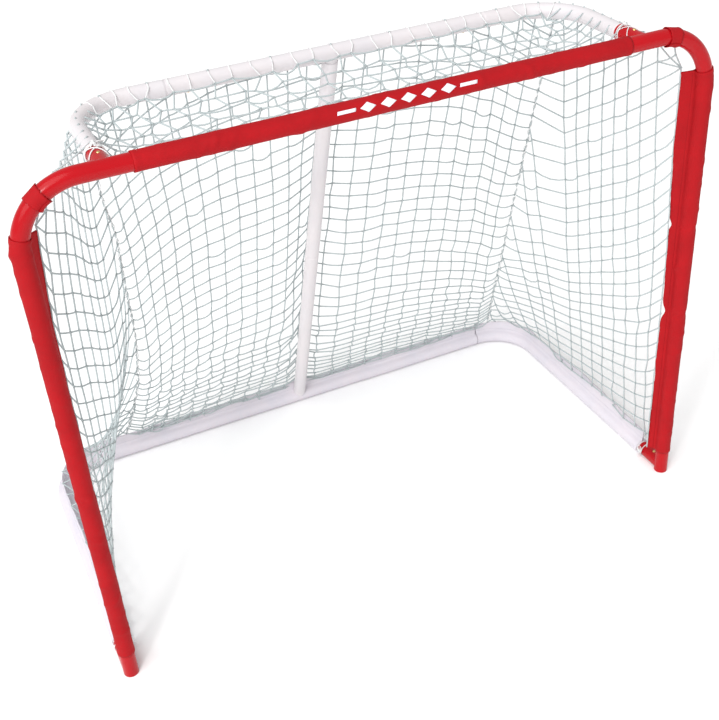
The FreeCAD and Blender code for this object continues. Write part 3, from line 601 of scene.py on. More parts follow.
for side, sign in SIDES:
    bottom = float(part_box(f"post_sleeve_{side}")[0][2])
    bend_z = BAR_Z - FRONT_BEND
    straight = [np.array([sign * POST_X, LINE_Y, z]) for z in np.linspace(bottom, bend_z, 200)]
    centre = np.array([sign * (POST_X - FRONT_BEND), LINE_Y, bend_z])
    end_turn = math.asin((POST_SLEEVE_TOP - bend_z) / FRONT_BEND)
    curve = arc(centre, X_AXIS * sign, UP, FRONT_BEND, 0, end_turn, 16)
    path = resample(np.vstack([straight, curve[1:]]), CLOTH_STEP)
    flaps = np.array([post_flap(side, p[2])[0] for p in path])
    made = sleeve(f"post_sleeve_{side}", path, flaps, RED_FABRIC, POST_SEEDS[side],
                  wrinkle=0.0016, pinches=POST_TUCKS[side], square_end=0.006,
                  narrow=lambda s: FLAP_REACH - post_flap(side, bottom + s)[1])
    stitches(f"post_stitching_{side}", path, flaps, RED_THREAD, "red_fabric")

sleeve_low, sleeve_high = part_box("crossbar_sleeve")
path = resample([(x, LINE_Y, BAR_Z) for x in (sleeve_low[0], sleeve_high[0])], CLOTH_STEP)
droop_way = [0, math.cos(BAR_FLAP_DROOP), -math.sin(BAR_FLAP_DROOP)]
flaps = np.tile(droop_way, (len(path), 1))
made = sleeve("crossbar_sleeve", path, flaps, RED_FABRIC, 37, wrinkle=0.0013,
              reach=BAR_FLAP_REACH, gathers=1.0)
stitches("crossbar_stitching", path, flaps, RED_THREAD, "red_fabric")


def base_lean(s):
    """The right base flap leans out along the first half metre."""
    return 0.010 * math.sin(min(1, s / 0.5) * math.pi)


for side, sign in SIDES:
    start_y = LINE_Y + 0.076
    bend_y = BASE_Y - BASE_BEND
    centre = np.array([sign * (POST_X - BASE_BEND), bend_y, BASE_Z])
    straight = [np.array([sign * POST_X, y, BASE_Z]) for y in np.linspace(start_y, bend_y, 100)]
    curve = arc(centre, X_AXIS * sign, Y_AXIS, BASE_BEND, 0, math.radians(89.6), 40)
    path = resample(np.vstack([straight, curve[1:]]), CLOTH_STEP)
    flaps = np.tile(UP, (len(path), 1))
    made = sleeve(f"base_sleeve_{side}", path, flaps, WHITE_FABRIC,
                  BASE_SEEDS[side], wrinkle=0.0005, gathers=0.8,
                  lean=base_lean if side == "right" else None)
    stitches(f"base_stitching_{side}", path, flaps, WHITE_THREAD, "white_fabric")

rear_low, rear_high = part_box("base_sleeve_rear")
path = resample([(x, BASE_Y, BASE_Z) for x in (rear_low[0], rear_high[0])], CLOTH_STEP)
flaps = np.tile(UP, (len(path), 1))
half_rear = (rear_high[0] - rear_low[0]) / 2


def round_post(s):
    """The rear flap stands clear behind the centre post."""
    return -0.004 * bell(s - half_rear, 0.025)


made = sleeve("base_sleeve_rear", path, flaps, WHITE_FABRIC, 83, wrinkle=0.0005,
              lean=round_post, gathers=0.9)
stitches("base_rear_stitching", path, flaps, WHITE_THREAD, "white_fabric")


# ---- the netting -------------------------------------------------------------------------

MESH = 0.038
TWINE_RADIUS = 0.0017
WRAP_RADIUS = 0.0013
NET_LOW = BASE_Z + FLAP_REACH + 0.0012
REAR_OUT = TUBE + 0.0022
SEAM_TOP_TURN = math.radians(45)
SEAM_FOOT_TURN = math.radians(72)


def bent_edge(edge, bend, past, grow=0.0):
    """How far a bent tube's outline, grown a little, reaches past the start of its bend."""
    if past <= 0:
        return edge + grow
    r = bend + grow
    return edge - bend + math.sqrt(max(r * r - past * past, 1e-6))


def top_rear_y(x):
    """Behind the top rear tube and its bends."""
    return bent_edge(TOP_Y, TOP_BEND, abs(x) - (TOP_X - TOP_BEND), REAR_OUT)


def base_rear_y(x):
    return bent_edge(BASE_Y, BASE_BEND, abs(x) - (POST_X - BASE_BEND))


def base_corner(angle, sign=1):
    """A place over the base tube's bend, where the netting stands."""
    return [sign * (POST_X - BASE_BEND + BASE_BEND * math.cos(angle)),
            BASE_Y - BASE_BEND + BASE_BEND * math.sin(angle), NET_LOW]


seam_radius = TOP_BEND + REAR_OUT
SEAM_UPPER = np.array([TOP_X - TOP_BEND + seam_radius * math.cos(SEAM_TOP_TURN),
                       TOP_Y - TOP_BEND + seam_radius * math.sin(SEAM_TOP_TURN), BAR_Z])
SEAM_LOWER = np.array(base_corner(SEAM_FOOT_TURN))


class Net:
    """Knots joined by lengths of twine, which hang under gravity from the knots that are held."""

    DAMPING = 0.90
    PASSES = 14
    PULL = 1.6
    LOWEST = 0.003

    def __init__(self):
        self.points, self.fixed, self.panel, self.knot = [], [], [], []
        self.ends, self.rest = [], []

    def add(self, place, panel, fixed=False, knot=True):
        self.points.append(np.asarray(place, float))
        self.fixed.append(fixed)
        self.panel.append(panel)
        self.knot.append(knot)
        return len(self.points) - 1

    def gap(self, a, b):
        return float(np.linalg.norm(self.points[a] - self.points[b]))

    def join(self, a, b, rest=None, slack=1.0):
        self.ends.append((a, b))
        self.rest.append((self.gap(a, b) if rest is None else rest) * slack)

    def string(self, chain, slack=1.0):
        for a, b in zip(chain, chain[1:]):
            self.join(a, b, slack=slack)

    def relax(self, rounds, gravity, solids):
        """Position-based dynamics: twine only resists pulling; knots stay out of the tubes."""
        p = np.array(self.points)
        before = p.copy()
        held = np.array(self.fixed)
        free = (~held).astype(float)
        a, b = np.array(self.ends).T
        rest = np.array(self.rest)
        weight = free[a] + free[b]
        keep = weight > 0
        a, b, rest, weight = a[keep], b[keep], rest[keep], weight[keep]
        share_a, share_b = free[a] / weight, free[b] / weight
        count = np.bincount(np.concatenate([a, b]), minlength=len(p)).astype(float)
        count = np.maximum(count, 1)[:, None]
        for _ in range(rounds):
            speed = (p - before) * self.DAMPING
            before = p.copy()
            p = p + (speed + np.array([0, 0, -gravity])) * free[:, None]
            for _ in range(self.PASSES):
                gap = p[b] - p[a]
                length = np.linalg.norm(gap, axis=1)
                pull = np.maximum(length - rest, 0) / np.maximum(length, 1e-9)
                move = gap * pull[:, None]
                change = np.zeros_like(p)
                np.add.at(change, a, move * share_a[:, None])
                np.add.at(change, b, -move * share_b[:, None])
                p += change / count * self.PULL
            for start, end, radius in solids:
                line = end - start
                t = np.clip(((p - start) @ line) / (line @ line), 0, 1)
                away = p - (start + t[:, None] * line)
                d = np.linalg.norm(away, axis=1)
                inside = (d < radius) & ~held
                p[inside] += away[inside] / d[inside, None] * (radius - d[inside])[:, None]
            p[(p[:, 2] < self.LOWEST) & ~held, 2] = self.LOWEST
        self.points = list(p)


net = Net()

# The back: columns fan out from the top rear tube to the base; rows arch down to the seams.
HALF_COLUMNS = 13
COLUMNS = range(-HALF_COLUMNS, HALF_COLUMNS + 1)
HIGH = 0.6
FALL = math.hypot(BASE_Y - TOP_Y - REAR_OUT, BAR_Z - NET_LOW)
ARCH = 1.37
LOOSE_SHARE, GATHER, GATHER_END = 0.62, 0.92, 1.55
LEFT_SEAM_Z = [0.066, 0.132, 0.188, 0.259, 0.357, 0.432, 0.515, 0.575, 0.672, 0.762, 0.812,
               0.865, 0.914, 1.10]
LEFT_SEAM_X = [0.478, 0.460, 0.448, 0.436, 0.432, 0.431, 0.434, 0.440, 0.446, 0.450, 0.457,
               0.468, 0.475, 0.497]


def seam_half(t, left):
    """Half width of the back at a share of its fall. The left seam is slack and hangs inwards."""
    if left:
        return float(np.interp(BAR_Z + (NET_LOW - BAR_Z) * t, LEFT_SEAM_Z, LEFT_SEAM_X))
    return SEAM_UPPER[0] + (SEAM_LOWER[0] - SEAM_UPPER[0]) * t


def column_place(a):
    """Where a column starts along the top, as a share of the half width."""
    grid = np.linspace(0, SEAM_UPPER[0], 400)
    stretch = np.sqrt(1 + (3 * ARCH * grid**2) ** 2)
    run = np.concatenate([[0], np.cumsum((stretch[1:] + stretch[:-1]) / 2 * np.diff(grid))])
    want = run[-1] * abs(a) / HALF_COLUMNS
    return math.copysign(np.interp(want, run, grid) / SEAM_UPPER[0], a)


def back_point(share, q):
    """The back panel's surface at a share of its half width and a distance down from the tube."""
    t = min(max(q / FALL, 0), 1)
    foot_x = share * seam_half(1, share < 0)
    y = top_rear_y(share * SEAM_UPPER[0]) * (1 - t) + base_rear_y(foot_x) * t
    z = BAR_Z + (NET_LOW - BAR_Z) * t
    sag = math.sin(math.pi * t) * (1 - abs(share) ** 3)
    return np.array([share * seam_half(t, share < 0), y - 0.012 * sag, z - 0.006 * sag])


def row_fall(q):
    """Rows close up towards the foot, where the slack gathers."""
    loose = LOOSE_SHARE * FALL
    if q < loose:
        return q
    room = FALL - loose
    closing = 1 - math.exp(-(q - loose) / room * GATHER)
    return loose + room * closing / (1 - math.exp(-GATHER_END))


shares = {a: column_place(a) for a in COLUMNS}
back, tops, feet, seam = {}, {}, {}, {}
for a in COLUMNS:
    share = shares[a]
    drop = ARCH * abs(share * SEAM_UPPER[0]) ** 3
    on_seam = abs(a) == HALF_COLUMNS
    tops[a] = net.add(back_point(share, 0), "back", fixed=True, knot=False)
    chain = [tops[a]]
    for b in range(-8, 60):
        below = MESH * (b + 0.55) + drop
        if below <= 0 or not 0.012 <= row_fall(below) <= FALL - 0.010:
            continue
        wobble = rng.normal(0, 0.0014, 3) * (0.3 if on_seam else 1)
        place = back_point(share, row_fall(below)) + wobble
        back[a, b] = net.add(place, "back", fixed=on_seam)
        chain.append(back[a, b])
    feet[a] = net.add(back_point(share, FALL), "back", fixed=True)
    chain.append(feet[a])
    for c, d in zip(chain, chain[1:]):
        least = MESH * 0.97 if c != tops[a] and d != feet[a] else 0
        net.join(c, d, rest=max(net.gap(c, d), least) * 1.008)
    if on_seam:
        seam["left" if a < 0 else "right"] = chain
for (a, b), i in list(back.items()):
    ends = tops if net.points[i][2] > HIGH else feet
    beside = back.get((a + 1, b))
    if beside is not None:
        net.join(i, beside, rest=max(net.gap(i, beside), MESH) * 1.01)
    elif a < HALF_COLUMNS:
        net.join(i, ends[a + 1], slack=1.01)
    if a > -HALF_COLUMNS and (a - 1, b) not in back:
        net.join(i, ends[a - 1], slack=1.01)

# The top: slack and irregular, from the crossbar sleeve's flap over the rear tube.
flap_y = LINE_Y + BAR_FLAP_REACH * math.cos(BAR_FLAP_DROOP)
flap_z = BAR_Z - BAR_FLAP_REACH * math.sin(BAR_FLAP_DROOP) + 0.002
TOP_ROWS = 7
WRAP_ANGLES = (62, 100, 140)
on_tube = set()
top_nodes = {}
for ia, a in enumerate(COLUMNS):
    front_share = (shares[a] + 1) / 2
    x_front = sleeve_low[0] + 0.004 + (sleeve_high[0] - sleeve_low[0] - 0.008) * front_share
    if a == -HALF_COLUMNS:
        x_front -= 0.010
    start = np.array([x_front, flap_y, flap_z])
    x_rear = shares[a] * SEAM_UPPER[0]
    rear_y = top_rear_y(x_rear)
    outward = Y_AXIS
    if abs(x_rear) > TOP_X - TOP_BEND:
        bend_x = math.copysign(TOP_X - TOP_BEND, x_rear)
        outward = unit(np.array([x_rear - bend_x, rear_y - TOP_Y + TOP_BEND, 0]))
    spine = np.array([x_rear, rear_y, BAR_Z]) - outward * REAR_OUT
    wraps = []
    for angle in WRAP_ANGLES:
        turn = math.radians(angle)
        spot = spine + REAR_OUT * 0.96 * (math.cos(turn) * outward + math.sin(turn) * UP)
        wraps.append(net.add(spot, "top", fixed=True, knot=(angle == 100 and ia % 3 == 1)))
    net.string([tops[a]] + wraps)
    on_tube.update(wraps)
    end = spine - outward * (REAR_OUT + 0.012) + UP * 0.006
    chain = []
    for b in range(TOP_ROWS + 1):
        t = b / TOP_ROWS
        place = start * (1 - t) + end * t
        place[2] -= 0.004 * math.sin(math.pi * t)
        if b:
            place += np.array([rng.normal(0, wide) for wide in (0.0034, 0.0030, 0.0010)])
            place[0] += 0.006 * (1 if (b + a) % 2 else -1)
        top_nodes[a, b] = net.add(place, "top", fixed=(b == 0))
        chain.append(top_nodes[a, b])
    net.string(chain + wraps[-1:], slack=1.03)
for (a, b), i in list(top_nodes.items()):
    if b and (a + 1, b) in top_nodes:
        net.join(i, top_nodes[a + 1, b], slack=1.04)
for a in (-HALF_COLUMNS, HALF_COLUMNS):
    for b in range(1, TOP_ROWS + 1):
        y = net.points[top_nodes[a, b]][1]
        edge_x = bent_edge(TOP_X, TOP_BEND, y - (TOP_Y - TOP_BEND), -TUBE) + 0.004
        spot = [math.copysign(edge_x, a), y, BAR_Z + 0.010]
        tie = net.add(spot, "top", fixed=True, knot=False)
        net.join(top_nodes[a, b], tie, slack=1.02)

# The sides: columns stand on the base flap and end on the top tube or on the slanting seam;
# rows start level at the flap of the post and fall towards the seam.
SIDE_COLUMNS = {"right": 16, "left": 18}
TUBE_COLUMNS = 8
FOOT_TURN = {"right": SEAM_FOOT_TURN, "left": math.pi / 2}
STRAP_TIE = {"right": (0.600, 1.086), "left": (0.622, 1.072)}
SEAM_STARTS = {
    "right": [1.08, 0.80, 0.68, 0.52, 0.36, 0.26, 0.18, 0.12, 0.09, 0.08],
    "left": [1.10, 0.86, 0.70, 0.56, 0.44, 0.34, 0.26, 0.19, 0.14, 0.10],
}
# Each row's fall per metre across: its most, its least, and its growth with height.
ROW_SLOPE = {"right": (0.52, 0.055, 0.8), "left": (0.56, 0.10, 0.9)}
# How far the left side hangs from the post's flap to the slack seam, by height.
CURTAIN_Z = [0.064, 0.114, 0.19, 0.25, 0.337, 0.393, 0.457, 0.52, 1.10]
CURTAIN = [0.0, 0.214, 0.342, 0.449, 0.60, 0.754, 0.888, 1.0, 1.0]
CURTAIN_TOP = 1.10


def seam_knot(side, z):
    """The place on a seam at a height, and the nearest knot there."""
    chain = seam[side]
    for i, j in zip(chain, chain[1:]):
        high, low = net.points[i][2], net.points[j][2]
        if high >= z >= low:
            t = (high - z) / max(high - low, 1e-9)
            return net.points[i] * (1 - t) + net.points[j] * t, (i if t < 0.5 else j)
    end = chain[0] if z > net.points[chain[0]][2] else chain[-1]
    return net.points[end], end


def flap_tip(side, sign, z):
    """The edge of a post's flap at a height."""
    way, reach = post_flap(side, z)
    place = np.array([sign * POST_X, LINE_Y, 0.0]) + way * (reach + 0.0008)
    return np.array([place[0], place[1], z])


def left_hang(place, z):
    """How far in from its straight line a place on the left side hangs."""
    seam_place, _ = seam_knot("left", z)
    edge = flap_tip("left", -1, z)
    share = (place[1] - edge[1]) / max(seam_place[1] - edge[1], 0.05)
    share = min(max(share, 0), 1)
    hung = edge[0] + (seam_place[0] - edge[0]) * share + 0.010 * math.sin(math.pi * share)
    weight = float(np.interp(z, CURTAIN_Z, CURTAIN)) * min(1.0, (CURTAIN_TOP - z) / 0.12)
    return place[0] * (1 - weight) + hung * weight


for side, sign in SIDES:
    tip = flap_tip(side, sign, NET_LOW)
    strap_x, strap_z = STRAP_TIE[side]
    strap_tie = [sign * strap_x, LINE_Y + 0.020, strap_z]
    top_path = np.array([strap_tie,
                         [sign * (TOP_X + 0.044), LINE_Y + 0.110, 1.088],
                         [sign * (TOP_X + 0.022), LINE_Y + 0.185, 1.092],
                         [sign * SEAM_UPPER[0], *SEAM_UPPER[1:]]])
    base_path = [[tip[0], tip[1], NET_LOW], [sign * (POST_X - 0.004), LINE_Y + 0.060, NET_LOW]]
    base_path += [base_corner(angle, sign) for angle in np.linspace(0, FOOT_TURN[side], 12)]
    if side == "left":
        base_path.append([-LEFT_SEAM_X[0], BASE_Y, NET_LOW])
    base_path = np.array(base_path)
    top_run, base_run = run_along(top_path), run_along(base_path)
    count = SIDE_COLUMNS[side]
    foot_pitch = base_run[-1] / (count - 0.5)
    steepest, level_slope, steepening = ROW_SLOPE[side]
    cells, heads, side_feet = {}, {}, {}
    for k in range(count):
        foot_place = places_at(base_path, base_run, foot_pitch * k)
        if k == 0:
            head_place = flap_tip(side, sign, POST_SLEEVE_TOP)
        elif k <= TUBE_COLUMNS:
            head_place = places_at(top_path, top_run, top_run[-1] * k / 8.6)
        else:
            start_z = SEAM_STARTS[side][min(k - TUBE_COLUMNS, 9)]
            head_place, head_knot = seam_knot(side, start_z)
        if head_place[2] - foot_place[2] < 0.020:
            continue
        side_feet[k] = net.add(foot_place, side, fixed=True)
        if k <= TUBE_COLUMNS:
            heads[k] = net.add(head_place, side, fixed=True, knot=(k < 3))
            if k >= 2:
                past = head_place[1] - (TOP_Y - TOP_BEND)
                tube_x = bent_edge(TOP_X, TOP_BEND, past, REAR_OUT) - REAR_OUT
                over = [sign * tube_x, head_place[1], BAR_Z + REAR_OUT]
                net.join(heads[k], net.add(over, side, fixed=True, knot=False), slack=1.02)
        else:
            heads[k] = head_knot
        chain = [side_feet[k]]
        for j in range(1, 40):
            level = NET_LOW + MESH * 1.01 * j
            height = level - NET_LOW
            slope = min(steepest, level_slope + steepening * height)
            across = MESH * k * (1 + 0.28 * (1 - min(1, height / 0.9)))
            z = level - slope * across - 0.012 * (1 - math.exp(-across / 0.02))
            if side == "left" and k:
                wave = math.sin(2 * math.pi * (across / 0.30 - 0.12))
                z += 0.013 * wave * min(1, height / 0.3)
            if z < foot_place[2] + 0.012:
                continue
            if z > head_place[2] - 0.012:
                break
            t = (z - foot_place[2]) / (head_place[2] - foot_place[2])
            if k == 0:
                place = flap_tip(side, sign, z)
            else:
                place = foot_place * (1 - t) + head_place * t
                if side == "left":
                    place[0] = left_hang(place, z)
                else:
                    place[0] -= 0.006 * math.sin(math.pi * t)
                place = place + rng.normal(0, 0.0015, 3)
            place[2] = z
            cells[k, j] = net.add(place, side, fixed=(k == 0))
            chain.append(cells[k, j])
        net.string(chain + [heads[k]], slack=1.006)
    upper = net.add(strap_tie, side, fixed=True)
    middle_knot = net.add((net.points[upper] + net.points[heads[0]]) / 2, side)
    net.string([heads[0], middle_knot, upper], slack=1.01)
    if (1, 26) in cells:
        net.join(middle_knot, cells[1, 26], slack=1.02)
    for (k, j), i in list(cells.items()):
        if (k + 1, j) in cells:
            net.join(i, cells[k + 1, j], slack=1.012)
            continue
        _, knot = seam_knot(side, net.points[i][2] - 0.010)
        if k + 1 in side_feet and net.points[i][2] < NET_LOW + 0.06:
            knot = side_feet[k + 1]
        if net.gap(knot, i) < 0.10:
            net.join(i, knot, slack=1.012)
    for (k, j), i in list(cells.items()):
        if k and (k - 1, j) not in cells and k - 1 in heads and net.points[i][2] > HIGH:
            net.join(i, heads[k - 1], slack=1.012)

# Tubes that the netting can't pass through: their lines of points and radii.
TUBE_CLEAR, SLEEVE_CLEAR, POST_CLEAR = TUBE + 0.0014, 0.0200, 0.0205
tube_lines = []
for sign in (-1, 1):
    for edge_x, rear_y, z, bend, clear in ((TOP_X, TOP_Y, BAR_Z, TOP_BEND, TUBE_CLEAR),
                                           (POST_X, BASE_Y, BASE_Z, BASE_BEND, SLEEVE_CLEAR)):
        centre = np.array([sign * (edge_x - bend), rear_y - bend, z])
        tube_lines.append(([(sign * edge_x, LINE_Y, z), (sign * edge_x, rear_y - bend, z)], clear))
        tube_lines.append((arc(centre, X_AXIS * sign, Y_AXIS, bend, 0, math.pi / 2, 7), clear))
    post_top = (sign * POST_X, LINE_Y, BAR_Z - FRONT_BEND)
    tube_lines.append(([(sign * POST_X, LINE_Y, 0), post_top], POST_CLEAR))
for half, y, z, clear in ((TOP_X - TOP_BEND, TOP_Y, BAR_Z, TUBE_CLEAR),
                          (POST_X - BASE_BEND, BASE_Y, BASE_Z, SLEEVE_CLEAR)):
    tube_lines.append(([(-half, y, z), (half, y, z)], clear))
tube_lines.append(([(0, TOP_Y, BAR_Z), (0, BASE_Y, BASE_Z)], TUBE + 0.0016))
solids = [(np.array(c, float), np.array(d, float), clear)
          for line, clear in tube_lines for c, d in zip(line, line[1:])]

net.relax(30, 0.00012, solids)

bags = {name: Bag() for name in ("left", "right", "back", "top")}
lashing = Bag()
points = net.points
for (a, b), rest in zip(net.ends, net.rest):
    p, q = points[a], points[b]
    length = np.linalg.norm(q - p)
    if length < 0.0015:
        continue
    spare = max(rest / length - 1, 0)
    sag = min(length * math.sqrt(0.375 * spare), 0.009) if spare else 0
    sag = sag * rng.uniform(0.35, 1.0) + rng.uniform(0, 0.0004)
    level = 1 - abs((q - p)[2]) / length
    out = rng.normal(0, 1, 3)
    out -= (out @ (q - p)) * (q - p) / length**2
    out /= np.linalg.norm(out)
    bow = -UP * (0.35 + 0.65 * level) + out * 0.55
    bow -= (bow @ (q - p)) * (q - p) / length**2
    line = [p + (q - p) * t + bow * sag * 4 * t * (1 - t) for t in (0, 0.22, 0.5, 0.78, 1)]
    if a in on_tube or b in on_tube:
        tube(lashing, line, WRAP_RADIUS, sides=5, round_ends=False)
    else:
        panel = net.panel[b] if net.panel[a] == "back" else net.panel[a]
        tube(bags[panel], line, TWINE_RADIUS, sides=5, round_ends=False)
lashing.make("top_net_lashing", CORD, "white_cord")
degree = np.bincount(np.array(net.ends).ravel(), minlength=len(points))
for i, p in enumerate(points):
    if net.knot[i] and degree[i] > 1:
        axis = rng.normal(0, 1, 3) + UP
        long, wide = rng.uniform(0.0024, 0.0031), rng.uniform(0.0019, 0.0024)
        lump(bags[net.panel[i]], p, axis, long, wide)
for name, bag in bags.items():
    bag.make(f"net_{name}", SHADED_TWINE, "netting", replaces=[f"net_{name}"])

# Lacing: two cords wound down each rear corner.
LACE_STEP, LACE_TURN = 0.0045, 0.052
for side, _ in SIDES:
    chain = resample([points[i] for i in seam[side]], LACE_STEP)
    tangents, across, over = frames_along(chain)
    run = np.arange(len(chain)) * LACE_STEP
    bag = Bag()
    for phase, seed in ((0.0, 5), (0.5, 10)):
        turn = (2 * math.pi * (run / LACE_TURN + phase))[:, None]
        radius = 0.0032 + 0.0009 * smooth_noise(len(chain), 4, seed)[:, None]
        tube(bag, chain + radius * (np.cos(turn) * across + np.sin(turn) * over), 0.0011)
    bag.make(f"corner_lacing_{side}", CORD, "white_cord", replaces=[f"corner_lacing_{side}"])


# ---- straps, ties and print --------------------------------------------------------------

STRAP_SPAN = math.radians(13)
STRAP_LAPS = 1.12
STRAP_THICK = 0.0011


def strap(side, sign, start, seed):
    """A red band wrapped once round a bend, with its end lapped over."""
    draws = np.random.default_rng(seed)
    centre = np.array([sign * (POST_X - FRONT_BEND), LINE_Y, BAR_Z - FRONT_BEND])
    across_n, around_n = 9, 76
    layers = ([], [])
    ragged = draws.normal(0, 0.0007, (2, around_n))
    for i in range(around_n):
        turn = 2 * math.pi * STRAP_LAPS * i / (around_n - 1)
        theta = turn + math.radians(200)
        lap = min(1, max(0, (turn - 2 * math.pi * 0.80) / 1.2))
        lift = 0.0165 + 0.0012 * lap + 0.0002 * math.sin(3 * turn)
        for grid, extra in zip(layers, (STRAP_THICK, 0.0)):
            for j in range(across_n):
                w = j / (across_n - 1)
                flare = 0.0009 * (2 * w - 1) ** 2 * (1 + 0.6 * math.sin(5 * turn + seed))
                edge = ragged[0, i] * (w < 0.01) + ragged[1, i] * (w > 0.99)
                angle = start + STRAP_SPAN * w + edge / FRONT_BEND
                out = X_AXIS * sign * math.cos(angle) + UP * math.sin(angle)
                around = math.cos(theta) * out + math.sin(theta) * Y_AXIS
                grid.append(centre + FRONT_BEND * out + (lift + extra + flare) * around)
    faces, uvs = thin_sheet(around_n, across_n, 0.0032, 0.0016)
    name = f"corner_strap_{side}"
    made = piece(name, layers[0] + layers[1], faces, uvs, RED_FABRIC, [name])


strap("left", -1, math.radians(46), seed=3)
strap("right", 1, math.radians(72), seed=4)

TIE_PITCH = 0.0045


def top_tie(bag, sign, cord, centre, first):
    """Two turns, a knot on top with two tails, and two cords that cross behind it."""
    around, knot_at = start_tie(bag, cord, centre, first, 2.0, X_AXIS)
    for swing in (-1, 1):
        ends = [(0.006 * swing - 0.003 * sign, 0.004 * swing, 0.002),
                (0.012 * swing - 0.006 * sign, 0.007 * swing, -0.001)]
        tube(bag, [knot_at] + [knot_at + np.array(end) for end in ends], cord * 0.9)
    for lean in (-1, 1):
        crossing = [centre + Y_AXIS * (0.016 * lean * t - 0.014) + around * (
            math.cos(1.2 * t) * UP + math.sin(1.2 * t) * X_AXIS) for t in np.linspace(-1, 1, 15)]
        tube(bag, crossing, cord * 0.9)


def base_tie(bag, sign, cord, centre, first):
    """One turn, a knot at the inner side with two tails, and three small loops."""
    _, knot_at = start_tie(bag, cord, centre, first, 1.0, UP)
    for swing in (-1, 1):
        ends = [(-sign * 0.005, 0.004 * swing, 0.003), (-sign * 0.010, 0.008 * swing, 0.001)]
        tube(bag, [knot_at] + [knot_at + np.array(end) for end in ends], cord * 0.9)
    for rise in (0.006, 0.012, 0.019):
        loop = arc(knot_at + UP * rise * 0.6, UP, Y_AXIS, rise * 0.45, 0, 2 * math.pi, 20)
        tube(bag, loop + X_AXIS * sign * rise * -0.15, cord * 0.9, round_ends=False)


def start_tie(bag, cord, centre, first, turns, knot_axis):
    """The turns round the tube and the knot. Gives the turns' radius and the knot's place."""
    around = TUBE + cord + 0.0001
    second = np.cross(Y_AXIS, first)
    n = int(turns * 28)
    line = []
    for i in range(n + 1):
        turn = 2 * math.pi * turns * i / n
        line.append(centre + Y_AXIS * TIE_PITCH * (i / n - 0.5) * turns
                    + around * (math.cos(turn) * first + math.sin(turn) * second))
    tube(bag, line, cord, sides=8)
    knot_at = centre + first * (around + 0.0012)
    lump(bag, knot_at, knot_axis, 0.0060, 0.0044)
    lump(bag, knot_at + Y_AXIS * 0.004 + UP * 0.002, UP, 0.0042, 0.0034)
    return around, knot_at


for side, sign in SIDES:
    tie_y = LINE_Y + 0.060
    bag = Bag()
    top_cord = 0.0014 if side == "left" else 0.0010
    top_tie(bag, sign, top_cord, np.array([sign * TOP_X, tie_y, BAR_Z]), UP)
    bag.make(f"top_tie_{side}", CORD, "white_cord", replaces=[f"top_tie_{side}"])
    bag = Bag()
    base_tie(bag, sign, 0.0010, np.array([sign * POST_X, tie_y, BASE_Z]), -sign * X_AXIS)
    bag.make(f"base_tie_{side}", CORD, "white_cord", replaces=[f"base_tie_{side}"])

# A plain printed band on the crossbar sleeve: lozenges between two short bars.
PRINT_OUT, PRINT_IN, PRINT_BEND = 0.01885, 0.0182, 0.0185
PRINT_TURN = math.radians(22)


def decal(bag, pointed, x_mid, wide, tall, tilt=0.0):
    """A printed lozenge or bar that follows the front of the sleeve."""
    rows, cols = 7, 9
    verts = []
    for r in (PRINT_OUT, PRINT_IN):
        for i in range(rows):
            v = 2 * i / (rows - 1) - 1
            w = max(0.06, 1 - abs(v)) if pointed else 1.0
            angle = v * tall / 2 / PRINT_BEND + PRINT_TURN
            for j in range(cols):
                u = 2 * j / (cols - 1) - 1
                x = x_mid + u * w * wide / 2 + tilt * v * tall / 2
                verts.append((x, LINE_Y - r * math.cos(angle), BAR_Z + r * math.sin(angle)))
    bag.take(verts, *thin_sheet(rows, cols, wide / cols, tall / rows, flip=True))


bag = Bag()
for x_mid in np.linspace(-0.062, 0.092, 5):
    decal(bag, True, x_mid, wide=0.030, tall=0.017)
for x_mid in (-0.102, 0.132):
    decal(bag, False, x_mid, wide=0.034, tall=0.006, tilt=0.3)
bag.make("crossbar_print", PRINT, "white_fabric")


# ---- floor, light and camera -------------------------------------------------------------

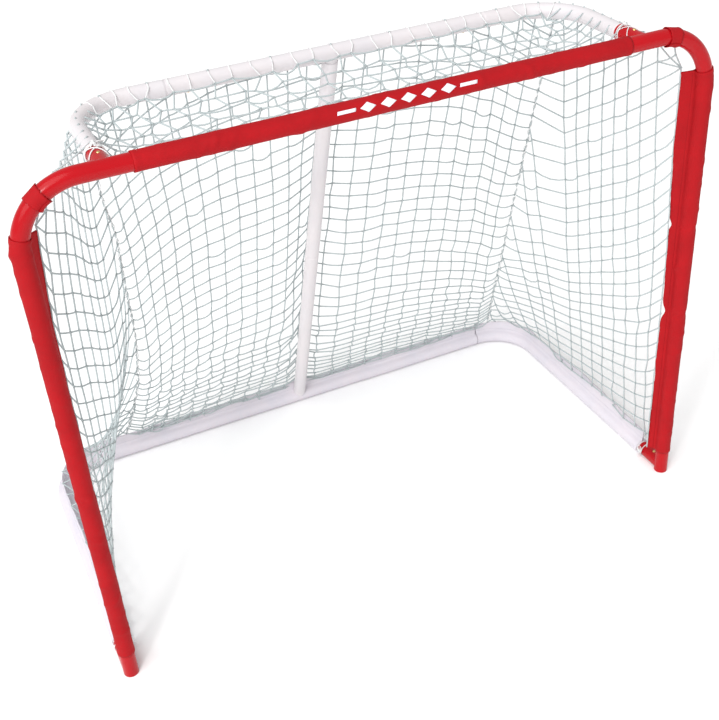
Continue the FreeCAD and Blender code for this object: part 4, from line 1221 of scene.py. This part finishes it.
FLOOR_HALF = 70
corners = [(x * FLOOR_HALF, y * FLOOR_HALF, 0) for x, y in ((-1, -1), (1, -1), (1, 1), (-1, 1))]
floor_mesh = bpy.data.meshes.new("floor")
floor_mesh.from_pydata(corners, [], [(0, 1, 2, 3)])
floor = bpy.data.objects.new("floor", floor_mesh)
bpy.context.scene.collection.objects.link(floor)
ground = Nodes("pale_floor")
ground.set(Base_Color=(0.99, 0.99, 0.99, 1), Roughness=0.9, Specular_IOR_Level=0.1)
floor_mesh.materials.append(ground.material)

world = bpy.data.worlds.new("studio")
bpy.context.scene.world = world
world.use_nodes = True
background = world.node_tree.nodes["Background"]
background.inputs["Color"].default_value = (1.0, 1.0, 1.0, 1)
background.inputs["Strength"].default_value = 0.64


def light(name, kind, strength, way, place=(0, 0, 0)):
    """A light that shines along way."""
    data = bpy.data.lights.new(name, kind)
    data.energy = strength
    made = bpy.data.objects.new(name, data)
    made.location = place
    made.rotation_euler = way.to_track_quat("-Z", "Y").to_euler()
    bpy.context.scene.collection.objects.link(made)
    return data


light("soft_key", "SUN", 2.2, Vector((0.85, 0.62, -1.0))).angle = math.radians(65)
strip_at, strip_aim = Vector((-2.4, -2.6, 3.0)), Vector((-0.1, -0.3, 0.9))
light("strip", "AREA", 42, strip_aim - strip_at, strip_at).size = 0.45

# The camera that was fitted to the photograph: place, directions, focal length and centre.
IMAGE_WIDE, IMAGE_HIGH = 719, 720
FOCAL_PIXELS = 1129.58
CENTRE_PIXELS = (370.87, 360.49)
SENSOR = 36
right = Vector((0.90318, -0.42548, -0.0569))
down = Vector((-0.28358, -0.49187, -0.82319))
forward = Vector((0.32227, 0.75963, -0.5649))
camera_data = bpy.data.cameras.new("camera")
camera = bpy.data.objects.new("camera", camera_data)
axes = Matrix((right, -down, -forward)).transposed()
camera.matrix_world = Matrix.Translation((-0.7943, LINE_Y - 1.6786, 1.8315)) @ axes.to_4x4()
camera_data.sensor_width = SENSOR
camera_data.lens = FOCAL_PIXELS * SENSOR / IMAGE_HIGH
camera_data.shift_x = (IMAGE_WIDE / 2 - CENTRE_PIXELS[0]) / IMAGE_HIGH
camera_data.shift_y = (CENTRE_PIXELS[1] - IMAGE_HIGH / 2) / IMAGE_HIGH
camera_data.clip_end = 180
bpy.context.scene.collection.objects.link(camera)
bpy.context.scene.camera = camera
bpy.context.scene.view_settings.view_transform = "Standard"
